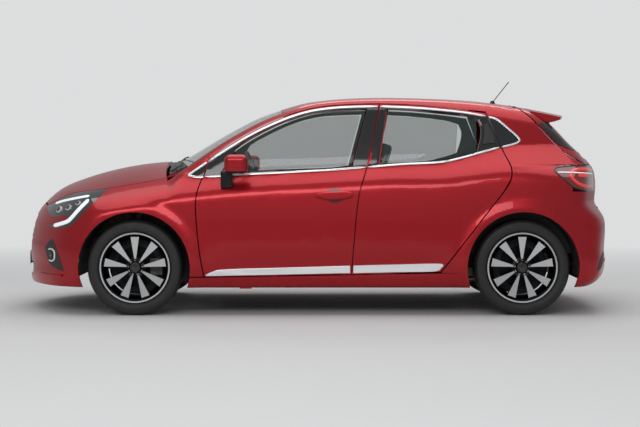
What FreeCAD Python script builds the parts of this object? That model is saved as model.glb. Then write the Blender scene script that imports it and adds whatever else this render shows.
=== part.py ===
import FreeCAD, Part
import math
import os
import re

import Sketcher
from FreeCAD import Placement, Rotation, Vector

# Five-door hatchback car, millimetres. +X forward, +Y left, +Z up.
# The origin is on the ground, at the middle of the overall length and width.

doc = FreeCAD.newDocument("hatchback")
sheet = doc.addObject("Spreadsheet::Sheet", "sizes")

SIZES = {
    "wheelbase": 2583,
    "front_overhang": 837,
    "rear_overhang": 630,
    "body_half_width": 893,
    "roof_height": 1476,
    "ground_clearance": 183,
    "track_front": 1509,
    "track_rear": 1499,
    "tyre_radius": 318,
    "tyre_width": 205,
    "rim_radius": 222,
    "rim_width": 178,
    "arch_radius": 373,
    "liner_wall": 4,
    "shut_gap": 8,
    "seam": 0.4,
    "cowl_gap": 22,
    "roof_gap": 14,
    "frame_gap": 10,
    "split_frame_gap": 24,
    "hinge_pin_radius": 4.5,
    "seat_clearance": 0.3,
    "spindle_radius": 22,
    "ball_pin_radius": 12,
    "running_gap": 0.08,
    "door_thickness": 70,
    "side_thickness": 112,
    "rail_thickness": 22,
    "panel_thickness": 26,
    "glass_thickness": 5,
    "glass_inset": 7,
    "aperture_lap": 36,
    "bumper_thickness": 30,
    "lamp_depth": 90,
    "disc_radius": 140,
    "disc_thickness": 22,
    "hub_radius": 68,
    "spoke_count": 9,
    "spoke_root": 11,
    "spoke_flare": 56,
    "disc_inset": 48,
    "rail_spread": 340,
    "engine_length": 430,
    "engine_height": 460,
    "tank_length": 187,
    "tank_width": 380,
    "tank_height": 140,
    "tank_roof": 440,
    "steering_wheel_radius": 185,
    "steering_wheel_grip": 15,
    "seat_width": 500,
    "seat_spacing": 740,
    "exhaust_radius": 26,
}

for row, (alias, number) in enumerate(SIZES.items(), start=1):
    sheet.set("A%d" % row, alias)
    sheet.set("B%d" % row, str(number))
    sheet.setAlias("B%d" % row, alias)
doc.recompute()


def size(alias):
    """Value of one driving dimension."""
    return float(sheet.get(alias))


FRONT_AXLE = (size("wheelbase") + size("rear_overhang") - size("front_overhang")) / 2
REAR_AXLE = FRONT_AXLE - size("wheelbase")
NOSE = FRONT_AXLE + size("front_overhang")
TAIL = REAR_AXLE - size("rear_overhang")
WHEEL_Z = size("tyre_radius")
ROOF = size("roof_height")
HALF = size("body_half_width")
FLOOR = size("ground_clearance")
GAP = size("shut_gap")
SEAM = size("seam")
SEAT = size("seat_clearance")
RUN = size("running_gap")


# Smooth curves through a few points

def curve(points):
    """Function of one coordinate, smooth through (coordinate, value) points."""
    knots = sorted(points)
    last = len(knots) - 1

    def slope(i):
        lo = max(i - 1, 0)
        hi = min(i + 1, last)
        return (knots[hi][1] - knots[lo][1]) / (knots[hi][0] - knots[lo][0])

    slopes = [slope(i) for i in range(last + 1)]

    def value(at):
        if at <= knots[0][0]:
            return knots[0][1] + slopes[0] * (at - knots[0][0])
        if at >= knots[last][0]:
            return knots[last][1] + slopes[last] * (at - knots[last][0])
        i = 0
        while knots[i + 1][0] < at:
            i += 1
        width = knots[i + 1][0] - knots[i][0]
        part = (at - knots[i][0]) / width
        rise = part * part * (3 - 2 * part)
        lead = part * (1 - part) * (1 - part) * width * slopes[i]
        trail = part * part * (part - 1) * width * slopes[i + 1]
        return knots[i][1] * (1 - rise) + knots[i + 1][1] * rise + lead + trail

    return value


def step(at, low, high):
    """Rises smoothly from 0 at low to 1 at high."""
    part = min(max((at - low) / (high - low), 0.0), 1.0)
    return part * part * (3 - 2 * part)


def round_min(first, second, radius):
    """The smaller of two distances, rounded where they are alike."""
    near = max(radius - abs(first - second), 0.0) / radius
    return min(first, second) - near * near * radius * 0.25


# Driving curves of the body

centre_line = curve([
    (FRONT_AXLE + 800, 715), (FRONT_AXLE + 740, 768), (FRONT_AXLE + 692, 797),
    (FRONT_AXLE + 632, 828), (FRONT_AXLE + 562, 860), (FRONT_AXLE + 492, 889),
    (FRONT_AXLE + 352, 936), (FRONT_AXLE + 212, 972), (FRONT_AXLE + 67, 1000),
    (FRONT_AXLE - 78, 1018), (FRONT_AXLE - 178, 1024), (FRONT_AXLE - 238, 1029),
    (FRONT_AXLE - 288, 1051), (FRONT_AXLE - 438, 1141), (FRONT_AXLE - 585, 1227),
    (FRONT_AXLE - 803, 1338), (FRONT_AXLE - 998, ROOF - 72), (FRONT_AXLE - 1165, ROOF - 31),
    (FRONT_AXLE - 1455, ROOF - 4), (FRONT_AXLE - 1817, ROOF), (REAR_AXLE + 332, ROOF - 18),
    (REAR_AXLE + 42, ROOF - 49), (REAR_AXLE - 178, ROOF - 85), (REAR_AXLE - 400, ROOF - 130),
])
nose_line = curve([
    (150, NOSE - 30), (190, NOSE - 15), (250, NOSE - 7), (330, NOSE - 9), (400, NOSE - 3),
    (460, NOSE), (520, NOSE - 7), (575, NOSE - 20), (616, NOSE - 33), (658, NOSE - 55),
    (700, NOSE - 75), (755, NOSE - 112), (800, NOSE - 140), (900, NOSE - 200),
])
tail_line = curve([
    (150, TAIL + 160), (183, TAIL + 110), (215, TAIL + 52), (265, TAIL + 16), (337, TAIL + 3),
    (423, TAIL + 5), (520, TAIL), (600, TAIL), (650, TAIL + 8), (700, TAIL + 26),
    (745, TAIL + 38), (830, TAIL + 34), (900, TAIL + 35), (950, TAIL + 42), (990, TAIL + 60),
    (1030, TAIL + 92), (1111, TAIL + 172), (1166, TAIL + 229), (1239, TAIL + 299),
    (1291, TAIL + 352), (1391, TAIL + 452), (1500, TAIL + 561),
])
belt_line = curve([
    (REAR_AXLE - 300, 1150), (REAR_AXLE + 40, 1140), (REAR_AXLE + 275, 1085),
    (REAR_AXLE + 540, 1020), (REAR_AXLE + 900, 1000), (FRONT_AXLE - 1300, 972),
    (FRONT_AXLE - 970, 950), (FRONT_AXLE - 568, 928), (FRONT_AXLE - 300, 915),
    (FRONT_AXLE + 200, 905),
])
crown = curve([
    (REAR_AXLE - 300, 60), (REAR_AXLE + 300, 42), (FRONT_AXLE - 1500, 34),
    (FRONT_AXLE - 900, 36), (FRONT_AXLE - 330, 45), (FRONT_AXLE - 200, 100),
    (FRONT_AXLE + 250, 112), (FRONT_AXLE + 700, 84),
])


def top_height(x, y):
    """Height of bonnet, windscreen and roof."""
    across = (y / 650.0) ** 2
    sweep = 62 * step(x, FRONT_AXLE - 1300, FRONT_AXLE - 900)
    sweep = sweep * (1 - step(x, FRONT_AXLE - 260, FRONT_AXLE - 160))
    return centre_line(x + sweep * across) - crown(x) * across


def side_width(x, z):
    """Half-width of the body side, with arch flares, shoulder and tumblehome."""
    low = HALF - 0.00016 * max(z - 600, 0.0) ** 2 - 0.0012 * max(400 - z, 0.0) ** 2
    low = low - 0.00011 * max(x - FRONT_AXLE, 0.0) ** 2
    low = low - 0.00015 * max(REAR_AXLE - x, 0.0) ** 2
    for hub in (FRONT_AXLE, REAR_AXLE):
        reach = math.hypot(x - hub, z - WHEEL_Z)
        low = low + 13 * (1 - step(reach, size("arch_radius") + 22, size("arch_radius") + 95))
    scallop = step(z, 250, 330) * (1 - step(z, 330, 470))
    along = step(x, REAR_AXLE + 470, REAR_AXLE + 700) * (1 - step(x, FRONT_AXLE - 800, FRONT_AXLE - 500))
    low = low - 17 * scallop * along
    above = z - 950
    high = 800 - 0.27 * above - 0.00012 * max(above, 0.0) ** 2
    high = high - 60 * (max(REAR_AXLE + 900 - x, 0.0) / 900) ** 2
    high = high - 25 * (max(x - FRONT_AXLE + 1000, 0.0) / 650) ** 2
    below = max(belt_line(x) - z, 0.0)
    high = high + 0.75 * below * below / (below + 25)
    return round_min(low, high, 45)


def depth_inside(x, y, z):
    """About how far a point lies inside the outer skin."""
    wide = abs(y)
    share = wide / 800.0
    top = (top_height(x, wide) - z) * 0.93
    side = (side_width(x, z) - wide) * 0.96
    front = nose_line(z) - 335 * share ** 2.3 - x
    square = step(z, 620, 760)
    back = x - tail_line(z) - (105 + 60 * square) * share ** (3.6 - 1.3 * square)
    back = back * (1 - 0.25 * step(z, 980, 1060))
    deep = round_min(top, side, 95)
    deep = round_min(deep, front, 110)
    deep = round_min(deep, back, 70)
    return round_min(deep, z - FLOOR, 22)


def layer(z):
    """Walls are thinner round the windows than below them."""
    return 1 - 0.45 * step(z, 900, 1040)


def cast(start, direction, depth):
    """Point on a ray, found from outside, where the skin depth is reached."""
    def short(at):
        spot = start + direction * at
        return depth_inside(spot.x, spot.y, spot.z) - depth

    far = 1500.0
    near = 60.0
    far_value = short(far)
    near_value = short(near)
    for turn in range(60):
        if turn % 3 == 2:
            middle = (far + near) / 2
        else:
            middle = near + (far - near) * near_value / (near_value - far_value)
        value = short(middle)
        if abs(value) < 0.02:
            break
        if value > 0:
            near = middle
            near_value = value
        else:
            far = middle
            far_value = value
    return start + direction * middle


# Slabs of skin between two depths

def face_through(grid):
    """Smooth face through a grid of points."""
    surface = Part.BSplineSurface()
    surface.interpolate(grid)
    return surface


def between(outside, inside):
    """Closed solid between two grids of points."""
    outer = face_through(outside)
    inner = face_through(inside)
    faces = [outer.toShape(), inner.toShape()]
    sides = [
        (outer.uIso(outer.bounds()[0]), inner.uIso(inner.bounds()[0])),
        (outer.uIso(outer.bounds()[1]), inner.uIso(inner.bounds()[1])),
        (outer.vIso(outer.bounds()[2]), inner.vIso(inner.bounds()[2])),
        (outer.vIso(outer.bounds()[3]), inner.vIso(inner.bounds()[3])),
    ]
    for first, second in sides:
        faces.append(Part.makeRuledSurface(first.toShape(), second.toShape()))
    shell = Part.makeCompound(faces)
    shell.sewShape()
    solid = Part.makeSolid(Part.Shell(shell.Faces))
    if solid.Volume < 0:
        solid.reverse()
    return solid


def spread(low, high, count):
    """Evenly spaced values from low to high."""
    return [low + (high - low) * i / (count - 1) for i in range(count)]


def slab(rays, outer_depth, inner_depth):
    """Slab of skin between two depths, on a grid of rays."""
    outside = [[cast(a, b, outer_depth) for a, b in line] for line in rays]
    inside = [[cast(a, b, inner_depth) for a, b in line] for line in rays]
    return between(outside, inside)


def wall(rays, outer, inner):
    """Slab measured along its rays; each depth is a share that thins with the pillars and a plain part."""
    outside = []
    inside = []
    for line in rays:
        skin = [cast(a, b, 0) for a, b in line]
        outside.append([p - r[1] * (outer[0] * layer(p.z) + outer[1]) for p, r in zip(skin, line)])
        inside.append([p - r[1] * (inner[0] * layer(p.z) + inner[1]) for p, r in zip(skin, line)])
    return between(outside, inside)


SECTION_CENTRE = 560


def section_rays(stations, low_angle, high_angle, count):
    """Rays in cross sections, fanned out from a line along the cabin."""
    rays = []
    for x in stations:
        line = []
        for angle in spread(low_angle, high_angle, count):
            turn = math.radians(angle)
            line.append((Vector(x, 0, SECTION_CENTRE), Vector(0, math.cos(turn), math.sin(turn))))
        rays.append(line)
    return rays


def end_rays(axis_x, facing, half_angle, across, heights):
    """Level rays, fanned out from an upright axis near one end of the car."""
    rays = []
    for angle in spread(-half_angle, half_angle, across):
        turn = math.radians(angle)
        heading = Vector(facing * math.cos(turn), math.sin(turn), 0)
        rays.append([(Vector(axis_x, 0, z), heading) for z in heights])
    return rays


# Outlines, as closed runs of points that share their end points

def flat_wire(runs, place):
    """Closed wire: each run is a smooth curve, or a line if it has two points."""
    edges = []
    for run in runs:
        points = [place(a, b) for a, b in run]
        if len(points) == 2:
            edges.append(Part.LineSegment(points[0], points[1]).toShape())
        else:
            bend = Part.BSplineCurve()
            bend.interpolate(points)
            edges.append(bend.toShape())
    return Part.Wire(edges)


def grown(runs, distance):
    """The same outline with every side moved outward."""
    spots = []
    for run in runs:
        spots.extend(run[:-1])
    count = len(spots)
    area = 0.0
    for i in range(count):
        a = spots[i]
        b = spots[(i + 1) % count]
        area += a[0] * b[1] - b[0] * a[1]
    sense = distance if area > 0 else -distance
    moved = []
    for i in range(count):
        before = spots[i - 1]
        here = spots[i]
        after = spots[(i + 1) % count]
        first = Vector(here[0] - before[0], here[1] - before[1], 0).normalize()
        second = Vector(after[0] - here[0], after[1] - here[1], 0).normalize()
        normal = Vector(first.y + second.y, -first.x - second.x, 0)
        normal.normalize()
        spare = max(normal.x * first.y - normal.y * first.x, 0.35)
        moved.append((here[0] + normal.x * sense / spare, here[1] + normal.y * sense / spare))
    result = []
    index = 0
    for run in runs:
        steps = len(run) - 1
        result.append([moved[(index + i) % count] for i in range(steps + 1)])
        index += steps
    return result


def side_prism(runs, low_y=250, high_y=1100):
    """Solid from an outline in side view, on the left."""
    wire = flat_wire(runs, lambda x, z: Vector(x, low_y, z))
    return Part.Face(wire).extrude(Vector(0, high_y - low_y, 0))


def plan_prism(runs, low_z=0, high_z=1700):
    """Solid from an outline seen from above."""
    wire = flat_wire(runs, lambda x, y: Vector(x, y, low_z))
    return Part.Face(wire).extrude(Vector(0, 0, high_z - low_z))


def front_prism(runs, low_x, high_x):
    """Solid from an outline seen along the car."""
    wire = flat_wire(runs, lambda y, z: Vector(low_x, y, z))
    return Part.Face(wire).extrude(Vector(high_x - low_x, 0, 0))


def box(x0, x1, y0, y1, z0, z1):
    """Plain block between two corners."""
    return Part.makeBox(x1 - x0, y1 - y0, z1 - z0, Vector(x0, y0, z0))


def barrel(radius, length, centre, direction=Vector(0, 1, 0)):
    """Cylinder whose middle is at centre."""
    axis = Vector(direction).normalize()
    return Part.makeCylinder(radius, length, centre - axis * (length / 2), axis)


def mirrored(shape):
    """The same shape on the other side of the car."""
    return shape.mirror(Vector(0, 0, 0), Vector(0, 1, 0))


def largest(shape):
    """The main solid of a cut, without crumbs."""
    return max(shape.Solids, key=lambda solid: solid.Volume)


parts = []


def piece(label, shape, placement=None):
    """One sub-part whose form is worked out in code."""
    feature = doc.addObject("Part::Feature", label)
    feature.Label = label
    feature.Shape = shape
    if placement is not None:
        feature.Placement = placement
    parts.append(feature)
    return feature


def both_sides(name, shape):
    """A left piece and its mirror image."""
    piece(name + "_left", shape)
    piece(name + "_right", mirrored(shape))


# Shut lines in side view

DOOR_FRONT = FRONT_AXLE - 414
DOOR_SPLIT = FRONT_AXLE - 1475
DOOR_REAR = REAR_AXLE + 86
SILL_TOP = 262

front_edge = [
    (DOOR_FRONT - 84, 1035), (DOOR_FRONT - 53, 942), (DOOR_FRONT - 26, 883), (DOOR_FRONT - 7, 811),
    (DOOR_FRONT, 725), (DOOR_FRONT - 3, 659), (DOOR_FRONT - 13, 527), (DOOR_FRONT - 30, 396),
    (DOOR_FRONT - 53, SILL_TOP),
]
split_edge = [
    (DOOR_SPLIT + 35, 280), (DOOR_SPLIT + 29, 377), (DOOR_SPLIT + 19, 499), (DOOR_SPLIT, 709),
    (DOOR_SPLIT - 18, 824), (DOOR_SPLIT - 69, 991), (DOOR_SPLIT - 100, 1135),
    (DOOR_SPLIT - 130, 1276), (DOOR_SPLIT - 157, ROOF - 65),
]
front_top = [
    (DOOR_SPLIT - 157, ROOF - 65), (DOOR_SPLIT + 34, ROOF - 69), (DOOR_SPLIT + 170, ROOF - 78),
    (DOOR_SPLIT + 305, ROOF - 98), (FRONT_AXLE - 1034, ROOF - 137), (FRONT_AXLE - 899, 1284),
    (FRONT_AXLE - 762, 1216), (FRONT_AXLE - 627, 1135), (DOOR_FRONT - 84, 1035),
]
door_front_outline = [front_edge, [front_edge[-1], split_edge[0]], split_edge, front_top]

split_rear = [(x - GAP, z) for x, z in split_edge]
rear_top = [
    (DOOR_REAR + 147, ROOF - 125), (REAR_AXLE + 397, ROOF - 102), (REAR_AXLE + 668, ROOF - 76),
    (DOOR_SPLIT - 157 - GAP, ROOF - 65),
]
rear_edge = [
    (REAR_AXLE + 550, 294), (REAR_AXLE + 470, 396), (REAR_AXLE + 392, 499), (REAR_AXLE + 254, 677),
    (REAR_AXLE + 139, 824), (DOOR_REAR, 916), (DOOR_REAR - 6, 956), (DOOR_REAR, 1002),
    (DOOR_REAR + 26, 1066), (DOOR_REAR + 53, 1135), (DOOR_REAR + 96, 1236), rear_top[0],
]
door_rear_outline = [[split_rear[0], rear_edge[0]], rear_edge, rear_top, split_rear[::-1]]

# Window outlines

glass_front_outline = [
    [(FRONT_AXLE - 568, 946), (FRONT_AXLE - 800, 957), (DOOR_SPLIT + 171, 975), (DOOR_SPLIT + 22, 992)],
    [(DOOR_SPLIT + 22, 992), (DOOR_SPLIT - 78, ROOF - 93)],
    [(DOOR_SPLIT - 78, ROOF - 93), (DOOR_SPLIT + 170, ROOF - 103), (DOOR_SPLIT + 305, ROOF - 123),
     (FRONT_AXLE - 1034, 1314), (FRONT_AXLE - 899, 1258), (FRONT_AXLE - 762, 1189),
     (FRONT_AXLE - 700, 1152)],
    [(FRONT_AXLE - 700, 1152), (FRONT_AXLE - 568, 946)],
]
glass_rear_outline = [
    [(DOOR_SPLIT - 156, 1000), (REAR_AXLE + 811, 1010), (REAR_AXLE + 544, 1026), (REAR_AXLE + 410, 1052),
     (REAR_AXLE + 295, 1086)],
    [(REAR_AXLE + 295, 1086), (REAR_AXLE + 268, 1180), (REAR_AXLE + 264, 1250), (REAR_AXLE + 290, 1308)],
    [(REAR_AXLE + 290, 1308), (REAR_AXLE + 397, ROOF - 138), (REAR_AXLE + 668, ROOF - 107),
     (DOOR_SPLIT - 212, ROOF - 95)],
    [(DOOR_SPLIT - 212, ROOF - 95), (DOOR_SPLIT - 156, 1000)],
]

# Bonnet edge seen from above, and the line between roof rail and roof

bonnet_rear = FRONT_AXLE - 196
bonnet_side = [
    (bonnet_rear, 672), (FRONT_AXLE - 90, 690), (FRONT_AXLE + 60, 697), (FRONT_AXLE + 189, 693),
    (FRONT_AXLE + 330, 660), (FRONT_AXLE + 461, 602), (FRONT_AXLE + 580, 520), (FRONT_AXLE + 652, 420),
]
bonnet_nose = [
    (FRONT_AXLE + 652, 420), (FRONT_AXLE + 698, 210), (FRONT_AXLE + 712, 0),
    (FRONT_AXLE + 698, -210), (FRONT_AXLE + 652, -420),
]
bonnet_back = [
    (bonnet_rear, -672), (bonnet_rear + 26, -400), (bonnet_rear + 38, 0), (bonnet_rear + 26, 400),
    (bonnet_rear, 672),
]
bonnet_outline = [bonnet_side, bonnet_nose, [(x, -y) for x, y in reversed(bonnet_side)], bonnet_back]

rail_line = [
    (FRONT_AXLE - 255, 712), (FRONT_AXLE - 420, 672), (FRONT_AXLE - 760, 622), (FRONT_AXLE - 1010, 592),
    (FRONT_AXLE - 1500, 578), (REAR_AXLE + 400, 566), (REAR_AXLE + 16, 548),
]
screen_base = FRONT_AXLE - 262
screen_head = FRONT_AXLE - 985
tailgate_front = REAR_AXLE + 12


def between_rails(front_x, rear_x, front_bow, rear_bow, inset):
    """Plan outline between the two rail lines, with ends bowed forward."""
    side = curve([(x, y) for x, y in rail_line])
    run = [(x, side(x) - inset) for x in spread(front_x, rear_x, 6)]
    bow_rear = [(rear_x, run[-1][1]), (rear_x + rear_bow, 0), (rear_x, -run[-1][1])]
    bow_front = [(front_x, -run[0][1]), (front_x + front_bow, 0), (front_x, run[0][1])]
    return [run, bow_rear, [(x, -y) for x, y in reversed(run)], bow_front]


# Lamps and bumper lines in side view

lamp_outline = [
    [(FRONT_AXLE + 185, 875), (FRONT_AXLE + 330, 900), (FRONT_AXLE + 700, 860)],
    [(FRONT_AXLE + 700, 860), (FRONT_AXLE + 643, 722)],
    [(FRONT_AXLE + 643, 722), (FRONT_AXLE + 634, 688), (FRONT_AXLE + 606, 662), (FRONT_AXLE + 540, 652),
     (FRONT_AXLE + 470, 662), (FRONT_AXLE + 440, 650), (FRONT_AXLE + 510, 622), (FRONT_AXLE + 600, 590),
     (FRONT_AXLE + 545, 582), (FRONT_AXLE + 440, 594), (FRONT_AXLE + 398, 620)],
    [(FRONT_AXLE + 398, 620), (FRONT_AXLE + 340, 680), (FRONT_AXLE + 270, 755), (FRONT_AXLE + 212, 822),
     (FRONT_AXLE + 185, 875)],
]
fender_front = [
    (FRONT_AXLE + 185, 900), (FRONT_AXLE + 212, 822), (FRONT_AXLE + 270, 755), (FRONT_AXLE + 325, 684),
    (FRONT_AXLE + 279, 616), (FRONT_AXLE + 262, 560),
]
tail_lamp_outline = [
    [(REAR_AXLE - 204, 975), (REAR_AXLE - 237, 991), (REAR_AXLE - 331, 1001), (REAR_AXLE - 420, 1003),
     (TAIL - 60, 985)],
    [(TAIL - 60, 985), (TAIL - 60, 826)],
    [(TAIL - 60, 826), (REAR_AXLE - 466, 825), (REAR_AXLE - 399, 832), (REAR_AXLE - 331, 852),
     (REAR_AXLE - 278, 895), (REAR_AXLE - 237, 935), (REAR_AXLE - 204, 975)],
]
tailgate_shut = [
    (tailgate_front, ROOF - 30), (REAR_AXLE - 39, ROOF - 108), (REAR_AXLE - 79, 1334),
    (REAR_AXLE - 124, 1284), (REAR_AXLE - 181, 1220), (REAR_AXLE - 256, 1139), (REAR_AXLE - 317, 1082),
    (REAR_AXLE - 385, 1038), (REAR_AXLE - 439, 1007),
]
TAILGATE_HALF = 560
TAILGATE_LOW = 706

# Full solids used to divide the skin


def tailgate_region(extra):
    """Everything that opens with the tailgate, grown by the given clearance."""
    upper = [
        tailgate_shut,
        [tailgate_shut[-1], (TAIL - 200, 1007)],
        [(TAIL - 200, 1007), (TAIL - 200, 1700)],
        [(TAIL - 200, 1700), (tailgate_front, 1700)],
        [(tailgate_front, 1700), tailgate_shut[0]],
    ]
    above = side_prism(grown(upper, extra), -1100, 1100)
    below = box(TAIL - 200, REAR_AXLE - 300, -TAILGATE_HALF - extra, TAILGATE_HALF + extra,
                TAILGATE_LOW - extra, 1010)
    return above.fuse(below)


def arch_cut(hub, reach=0):
    """Wheel arch opening on the left."""
    return barrel(size("arch_radius") + reach, 700, Vector(hub, 900, WHEEL_Z))


rear_quarter_cut = [
    [(REAR_AXLE - 271, 826), (REAR_AXLE - 237, 757), (REAR_AXLE - 208, 680), (REAR_AXLE - 215, 560)],
    [(REAR_AXLE - 215, 560), (REAR_AXLE - 215, 0)],
    [(REAR_AXLE - 215, 0), (TAIL - 200, 0)],
    [(TAIL - 200, 0), (TAIL - 200, 826)],
    [(TAIL - 200, 826), (REAR_AXLE - 271, 826)],
]

# Skin panels between four edges

def path(points):
    """Smooth path through a few points, as a function from 0 to 1."""
    lengths = [0.0]
    for a, b in zip(points[:-1], points[1:]):
        lengths.append(lengths[-1] + math.dist(a, b))
    tracks = [curve([(s / lengths[-1], p[k]) for s, p in zip(lengths, points)]) for k in range(len(points[0]))]
    return lambda at: tuple(track(at) for track in tracks)


def on_side(points):
    """Path on the left flank, through (x, z) points."""
    run = path(points)
    return lambda at: cast(Vector(run(at)[0], 0, run(at)[1]), Vector(0, 1, 0), 0)


def on_top(points):
    """Path on the upper skin, through (x, y) points."""
    run = path(points)
    return lambda at: cast(Vector(run(at)[0], run(at)[1], SECTION_CENTRE), Vector(0, 0, 1), 0)


def joined(first, second, share):
    """One path after another; the first takes the given share."""
    return lambda at: first(at / share) if at < share else second((at - share) / (1 - share))


def panel(low, high, start, end, depths, counts, leans=(0, 0)):
    """Slab of skin between four edges; leans tilt its upright walls, in degrees."""
    rays = []
    for u in spread(0, 1, counts[0]):
        line = []
        for v in spread(0, 1, counts[1]):
            spot = low(u) * (1 - v) + high(u) * v + start(v) * (1 - u) + end(v) * u
            spot = spot - (low(0) * (1 - v) + high(0) * v) * (1 - u) - (low(1) * (1 - v) + high(1) * v) * u
            turn = math.radians(leans[0] + (leans[1] - leans[0]) * v)
            heading = Vector(0, math.cos(turn), math.sin(turn))
            line.append((spot - heading * 500, heading))
        rays.append(line)
    return wall(rays, depths[0], depths[1])


def level_rays(xs, zs):
    """Rays straight out to the left."""
    return [[(Vector(x, 0, z), Vector(0, 1, 0)) for z in zs] for x in xs]


DOOR = ((0, 0), (size("door_thickness"), 0))
SIDE = ((0, 0), (size("side_thickness"), 0))
RAIL = ((0, 0), (0, size("rail_thickness")))
SPLIT_FRAME = ((size("door_thickness"), size("split_frame_gap")),
               (size("side_thickness"), size("split_frame_gap")))
HINGE_DEPTH = 10
HINGE_HEIGHTS = (470, 700)
hinge_y = HALF - HINGE_DEPTH
front_hinge_x = DOOR_FRONT - 48
rear_hinge_x = DOOR_SPLIT - GAP - 20

nose_area = plan_prism(grown(bonnet_outline, GAP))
tailgate_area = tailgate_region(GAP)
roof_area = plan_prism(between_rails(bonnet_rear - GAP, tailgate_front + size("roof_gap"), 0, 0, 0))
front_gap = grown(door_front_outline, GAP)
rear_gap = grown(door_rear_outline, GAP)
DIVIDE = 1006


def hinge_notch(x):
    """Room in a door's front edge for its hinge leaves, with bores for the pins."""
    solids = []
    for z in HINGE_HEIGHTS:
        solids.append(box(x - 12, x + 60, 700, hinge_y + 5.5, z - 24, z + 24))
        bore = size("hinge_pin_radius") + SEAT
        solids.append(Part.makeCylinder(bore, 84, Vector(x, hinge_y, z - 42)))
    return solids


def hinge_leaves(x, inner_y):
    """Fixed hinge leaves with upright pins, standing out from a pillar."""
    solids = []
    for z in HINGE_HEIGHTS:
        solids.append(box(x - 6, x + 6, inner_y, hinge_y, z - 20, z + 20))
        solids.append(Part.makeCylinder(size("hinge_pin_radius"), 76, Vector(x, hinge_y, z - 38)))
    return solids


def door(outline, window, hinge_x):
    """One door: front, bottom, rear and top edges in its outline, window cut out."""
    front, low, back, top = outline
    shape = panel(on_side(low), on_side(top[::-1]), on_side(front[::-1]), on_side(back), DOOR, (26, 30))
    return largest(shape.cut([side_prism(window)] + hinge_notch(hinge_x)))


def pane(outline):
    """Pane that fills a window."""
    low, back, top, front = grown(outline, 4)
    depths = ((0, size("glass_inset")), (0, size("glass_inset") + size("glass_thickness")))
    shape = panel(on_side(low), on_side(top[::-1]), on_side(front[::-1]), on_side(back), depths, (18, 14))
    return largest(shape.common(side_prism(grown(outline, -SEAT))))


rear_door_runs = [door_rear_outline[3], door_rear_outline[0], door_rear_outline[1], door_rear_outline[2]]
front_door = door(door_front_outline, glass_front_outline, front_hinge_x)
both_sides("door_front", front_door)
both_sides("door_rear", door(rear_door_runs, glass_rear_outline, rear_hinge_x))
both_sides("glass_front", pane(glass_front_outline))
both_sides("glass_rear", pane(glass_rear_outline))


fender_outline = [
    [(x + GAP, z) for x, z in front_edge[:1:-1]] + [(DOOR_FRONT - 39, 932)],
    [(DOOR_FRONT - 39, 932), (FRONT_AXLE - 350, 936), (FRONT_AXLE - 264, 926), (FRONT_AXLE - 183, 918)],
    [(FRONT_AXLE - 183, 918), (FRONT_AXLE - 183, 1040)],
    [(FRONT_AXLE - 183, 1040), (FRONT_AXLE + 185, 1040)],
    [(FRONT_AXLE + 185, 1040), fender_front[0]],
    fender_front,
    [fender_front[-1], (FRONT_AXLE + 262, SILL_TOP)],
    [(FRONT_AXLE + 262, SILL_TOP), (DOOR_FRONT - 45, SILL_TOP)],
]


def rail_points(first_x, last_x, count):
    """Points on the line between roof rail and roof."""
    side = curve(rail_line)
    return [(x, side(x)) for x in spread(first_x, last_x, count)]


def sill():
    """Sill between the wheel arches."""
    reach = size("arch_radius") + 1
    level = SILL_TOP - GAP
    front_low = FRONT_AXLE - math.sqrt(reach ** 2 - (WHEEL_Z - FLOOR - 1) ** 2)
    front_high = FRONT_AXLE - math.sqrt(reach ** 2 - (WHEEL_Z - level) ** 2)
    rear_level = 286
    rear_low = REAR_AXLE + math.sqrt(reach ** 2 - (WHEEL_Z - FLOOR - 1) ** 2)
    rear_high = REAR_AXLE + math.sqrt(reach ** 2 - (WHEEL_Z - rear_level) ** 2)
    low = on_side([(front_low, FLOOR + 1), (rear_low, FLOOR + 1)])
    high = on_side([(front_high, level), (DOOR_FRONT - 60, level), (DOOR_SPLIT, 272), (rear_high, rear_level)])
    start = on_side([(front_low, FLOOR + 1), (front_high, level)])
    end = on_side([(rear_low, FLOOR + 1), (rear_high, rear_level)])
    return panel(low, high, start, end, SIDE, (30, 9))


QUARTER_DEPTH = 92
quarter_rays = level_rays(spread(REAR_AXLE - 325, REAR_AXLE + 560, 34), spread(286.5, DIVIDE, 26))


def quarter():
    """Rear quarter round the arch, up to the window line."""
    shape = wall(quarter_rays, (0, 0), (0, QUARTER_DEPTH))
    for cutter in (arch_cut(REAR_AXLE), side_prism(rear_gap), side_prism(grown(tail_lamp_outline, SEAM)),
                   side_prism(grown(rear_quarter_cut, SEAM))):
        shape = shape.cut(cutter)
    return largest(shape)


door_high = [spot for spot in rear_gap[1] if spot[1] > DIVIDE + 20]
rail_end = DOOR_REAR + 139
pillar_corner = (rail_end, ROOF - 112)


def rear_pillar():
    """Pillar between the rear door, the roof and the tailgate."""
    shut = [spot for spot in grown([tailgate_shut, [tailgate_shut[-1], (TAIL, 1007)],
                                    [(TAIL, 1007), (TAIL, 1600)], [(TAIL, 1600), (tailgate_front, 1600)],
                                    [(tailgate_front, 1600), tailgate_shut[0]]], GAP)[0]]
    back = [spot for spot in reversed(shut) if DIVIDE + 12 < spot[1] < ROOF - 80]
    base = DIVIDE + SEAM
    low = on_side([(DOOR_REAR - GAP, base), (REAR_AXLE - 200, base), (REAR_AXLE - 425, base)])
    top_points = rail_points(rail_end, tailgate_front + GAP / 2, 5)
    high = on_top(top_points)
    start = joined(on_side([(DOOR_REAR - GAP, base)] + door_high[:-1] + [pillar_corner]),
                   on_top([(rail_end, high(0).y + 60), top_points[0]]), 0.86)
    corner = high(1)
    edge = on_side([(REAR_AXLE - 425, base)] + back + [(tailgate_front + GAP / 2 - 20, ROOF - 84)])
    end = joined(edge, lambda at: edge(1) * (1 - at) + corner * at, 0.9)
    shape = panel(low, high, start, end, SIDE, (22, 24), (0, 90))
    return largest(shape.cut(side_prism(rear_gap)))


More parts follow.
